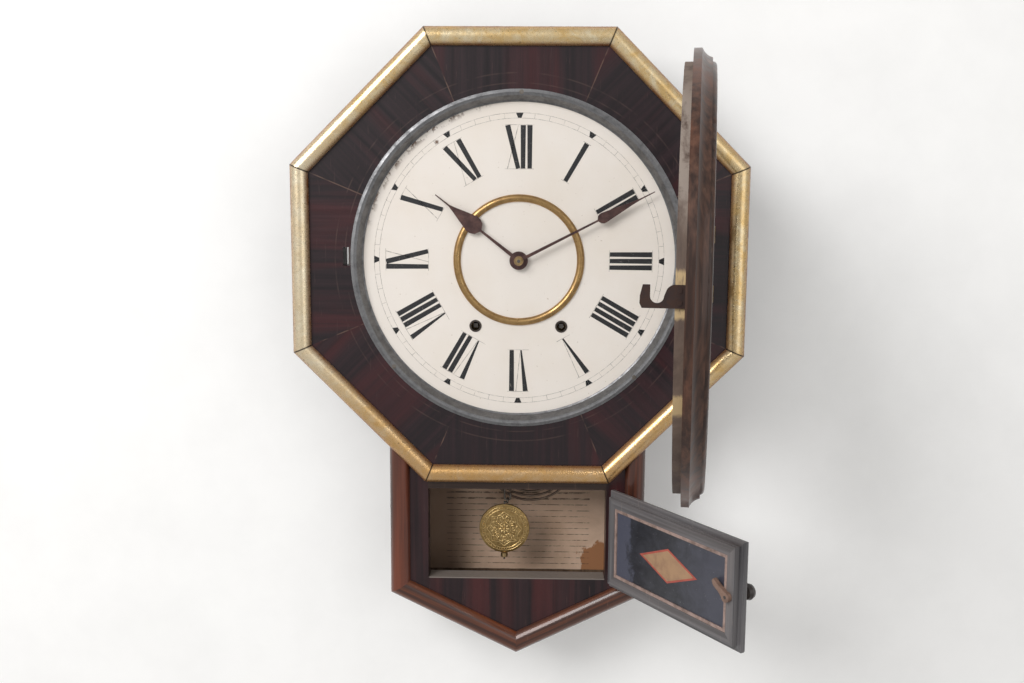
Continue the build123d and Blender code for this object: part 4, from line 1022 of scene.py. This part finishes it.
def wall_material():
    """Pale paint, open from behind and behind the case, so that the clock's back can be seen and lit."""
    material, t, shader, place = material_start("Painted wall")
    base = colours().backdrop
    shade = tuple(c * 0.96 for c in base)
    seen = t.add("ShaderNodeLightPath").outputs["Is Camera Ray"]
    mottle = t.spread(t.noise(place, 9.0, 8.0, 0.6), 0.40, 0.66)
    t.set(shader, Base_Color=t.mix(mottle, base, shade), Roughness=0.9,
          Emission_Color=DAYLIGHT, Emission_Strength=t.times(seen, colours().backdrop_glow))
    parts = t.split(place)
    low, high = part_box("backboard")
    out = t.size(parts["X"])
    point = t.plus(t.times(out, DROP_POINT_HEIGHT / high[0]), low[2])
    above = t.math("GREATER_THAN", parts["Z"], point)
    up = t.times(above, t.math("LESS_THAN", parts["Z"], high[2]))
    opening = t.times(t.math("LESS_THAN", out, high[0]), up)
    behind = t.add("ShaderNodeNewGeometry").outputs["Backfacing"]
    clear = t.add("ShaderNodeBsdfTransparent").outputs["BSDF"]
    either = t.add("ShaderNodeMixShader")
    for place, value in ((0, t.math("MAXIMUM", behind, opening)), (1, shader.outputs["BSDF"]), (2, clear)):
        t.feed(either.inputs[place], value)
    t.link(either.outputs["Shader"], material.node_tree.nodes["Material Output"].inputs["Surface"])
    return material


def photo_turn():
    """Turn of the photo's camera from its yaw, pitch and roll."""
    yaw, pitch, roll = (math.radians(angle) for angle in (PHOTO_YAW, PHOTO_PITCH, PHOTO_ROLL))
    forward = Vector((math.sin(yaw) * math.cos(pitch), math.cos(yaw) * math.cos(pitch), math.sin(pitch)))
    right = Vector((math.cos(yaw), -math.sin(yaw), 0.0))
    up = right.cross(forward)
    right_rolled = math.cos(roll) * right + math.sin(roll) * up
    up_rolled = -math.sin(roll) * right + math.cos(roll) * up
    return Matrix((right_rolled, up_rolled, -forward)).transposed().to_euler()


class WALLCLOCK_OT_stage(bpy.types.Operator):
    """Sets the wall, the lamps and the camera"""

    bl_idname = "wallclock.stage"
    bl_label = "Set the stage"

    def execute(self, context):
        scene = context.scene
        clear_selection()
        bpy.ops.mesh.primitive_plane_add(
            size=WALL_SIZE, location=(0, WALL_BEHIND, 0), rotation=(QUARTER, 0, 0))
        wall = settle("stage_wall")
        wall.data.materials.append(wall_material())
        world = bpy.data.worlds.new("Soft studio")
        world.use_nodes = True
        scene.world = world
        background = world.node_tree.nodes["Background"]
        background.inputs["Color"].default_value = (*DAYLIGHT, 1)
        background.inputs["Strength"].default_value = WORLD_LIGHT
        for name, place, size, power in LAMPS:
            data = bpy.data.lights.new(name, "AREA")
            data.size = size
            data.energy = power
            lamp = bpy.data.objects.new(name, data)
            lamp.location = place
            lamp.rotation_euler = (LAMP_AIM - Vector(place)).to_track_quat("-Z", "Y").to_euler()
            scene.collection.objects.link(lamp)
        data = bpy.data.cameras.new("Photo camera")
        data.lens = PHOTO_LENS
        data.sensor_width = FILM_WIDTH
        data.clip_end = 50.0
        camera = bpy.data.objects.new("Photo camera", data)
        camera.location = PHOTO_CAMERA
        camera.rotation_euler = photo_turn()
        scene.collection.objects.link(camera)
        scene.camera = camera
        scene.view_settings.view_transform = "Standard"
        return {"FINISHED"}


class WALLCLOCK_PT_panel(bpy.types.Panel):
    """Lists the steps in the sidebar"""

    bl_idname = "WALLCLOCK_PT_panel"
    bl_label = "Wall clock"
    bl_space_type = "VIEW_3D"
    bl_region_type = "UI"
    bl_category = "Wall clock"

    def draw(self, context):
        column = self.layout.column()
        for step in STEPS:
            column.operator(step.bl_idname)
        for group in (context.scene.wall_clock_sizes, context.scene.wall_clock_colours):
            for key in group.bl_rna.properties.keys():
                if key not in ("rna_type", "name"):
                    column.prop(group, key)


STEPS = (
    WALLCLOCK_OT_finishes,
    WALLCLOCK_OT_dial_print,
    WALLCLOCK_OT_dial_details,
    WALLCLOCK_OT_bob_relief,
    WALLCLOCK_OT_tablet_design,
    WALLCLOCK_OT_stage,
)
CLASSES = (WallClockSizes, WallClockColours, *STEPS, WALLCLOCK_PT_panel)


def register():
    """Registers the classes and the scene's settings."""
    for item in CLASSES:
        bpy.utils.register_class(item)
    bpy.types.Scene.wall_clock_sizes = bpy.props.PointerProperty(type=WallClockSizes)
    bpy.types.Scene.wall_clock_colours = bpy.props.PointerProperty(type=WallClockColours)


def unregister():
    """Removes what register added."""
    del bpy.types.Scene.wall_clock_colours
    del bpy.types.Scene.wall_clock_sizes
    for item in reversed(CLASSES):
        bpy.utils.unregister_class(item)


def main():
    """Dresses the clock."""
    register()
    bpy.ops.wallclock.finishes()
    bpy.ops.wallclock.dial_print()
    bpy.ops.wallclock.dial_details()
    bpy.ops.wallclock.bob_relief()
    bpy.ops.wallclock.tablet_design()
    bpy.ops.wallclock.stage()


if __name__ == "__main__":
    main()
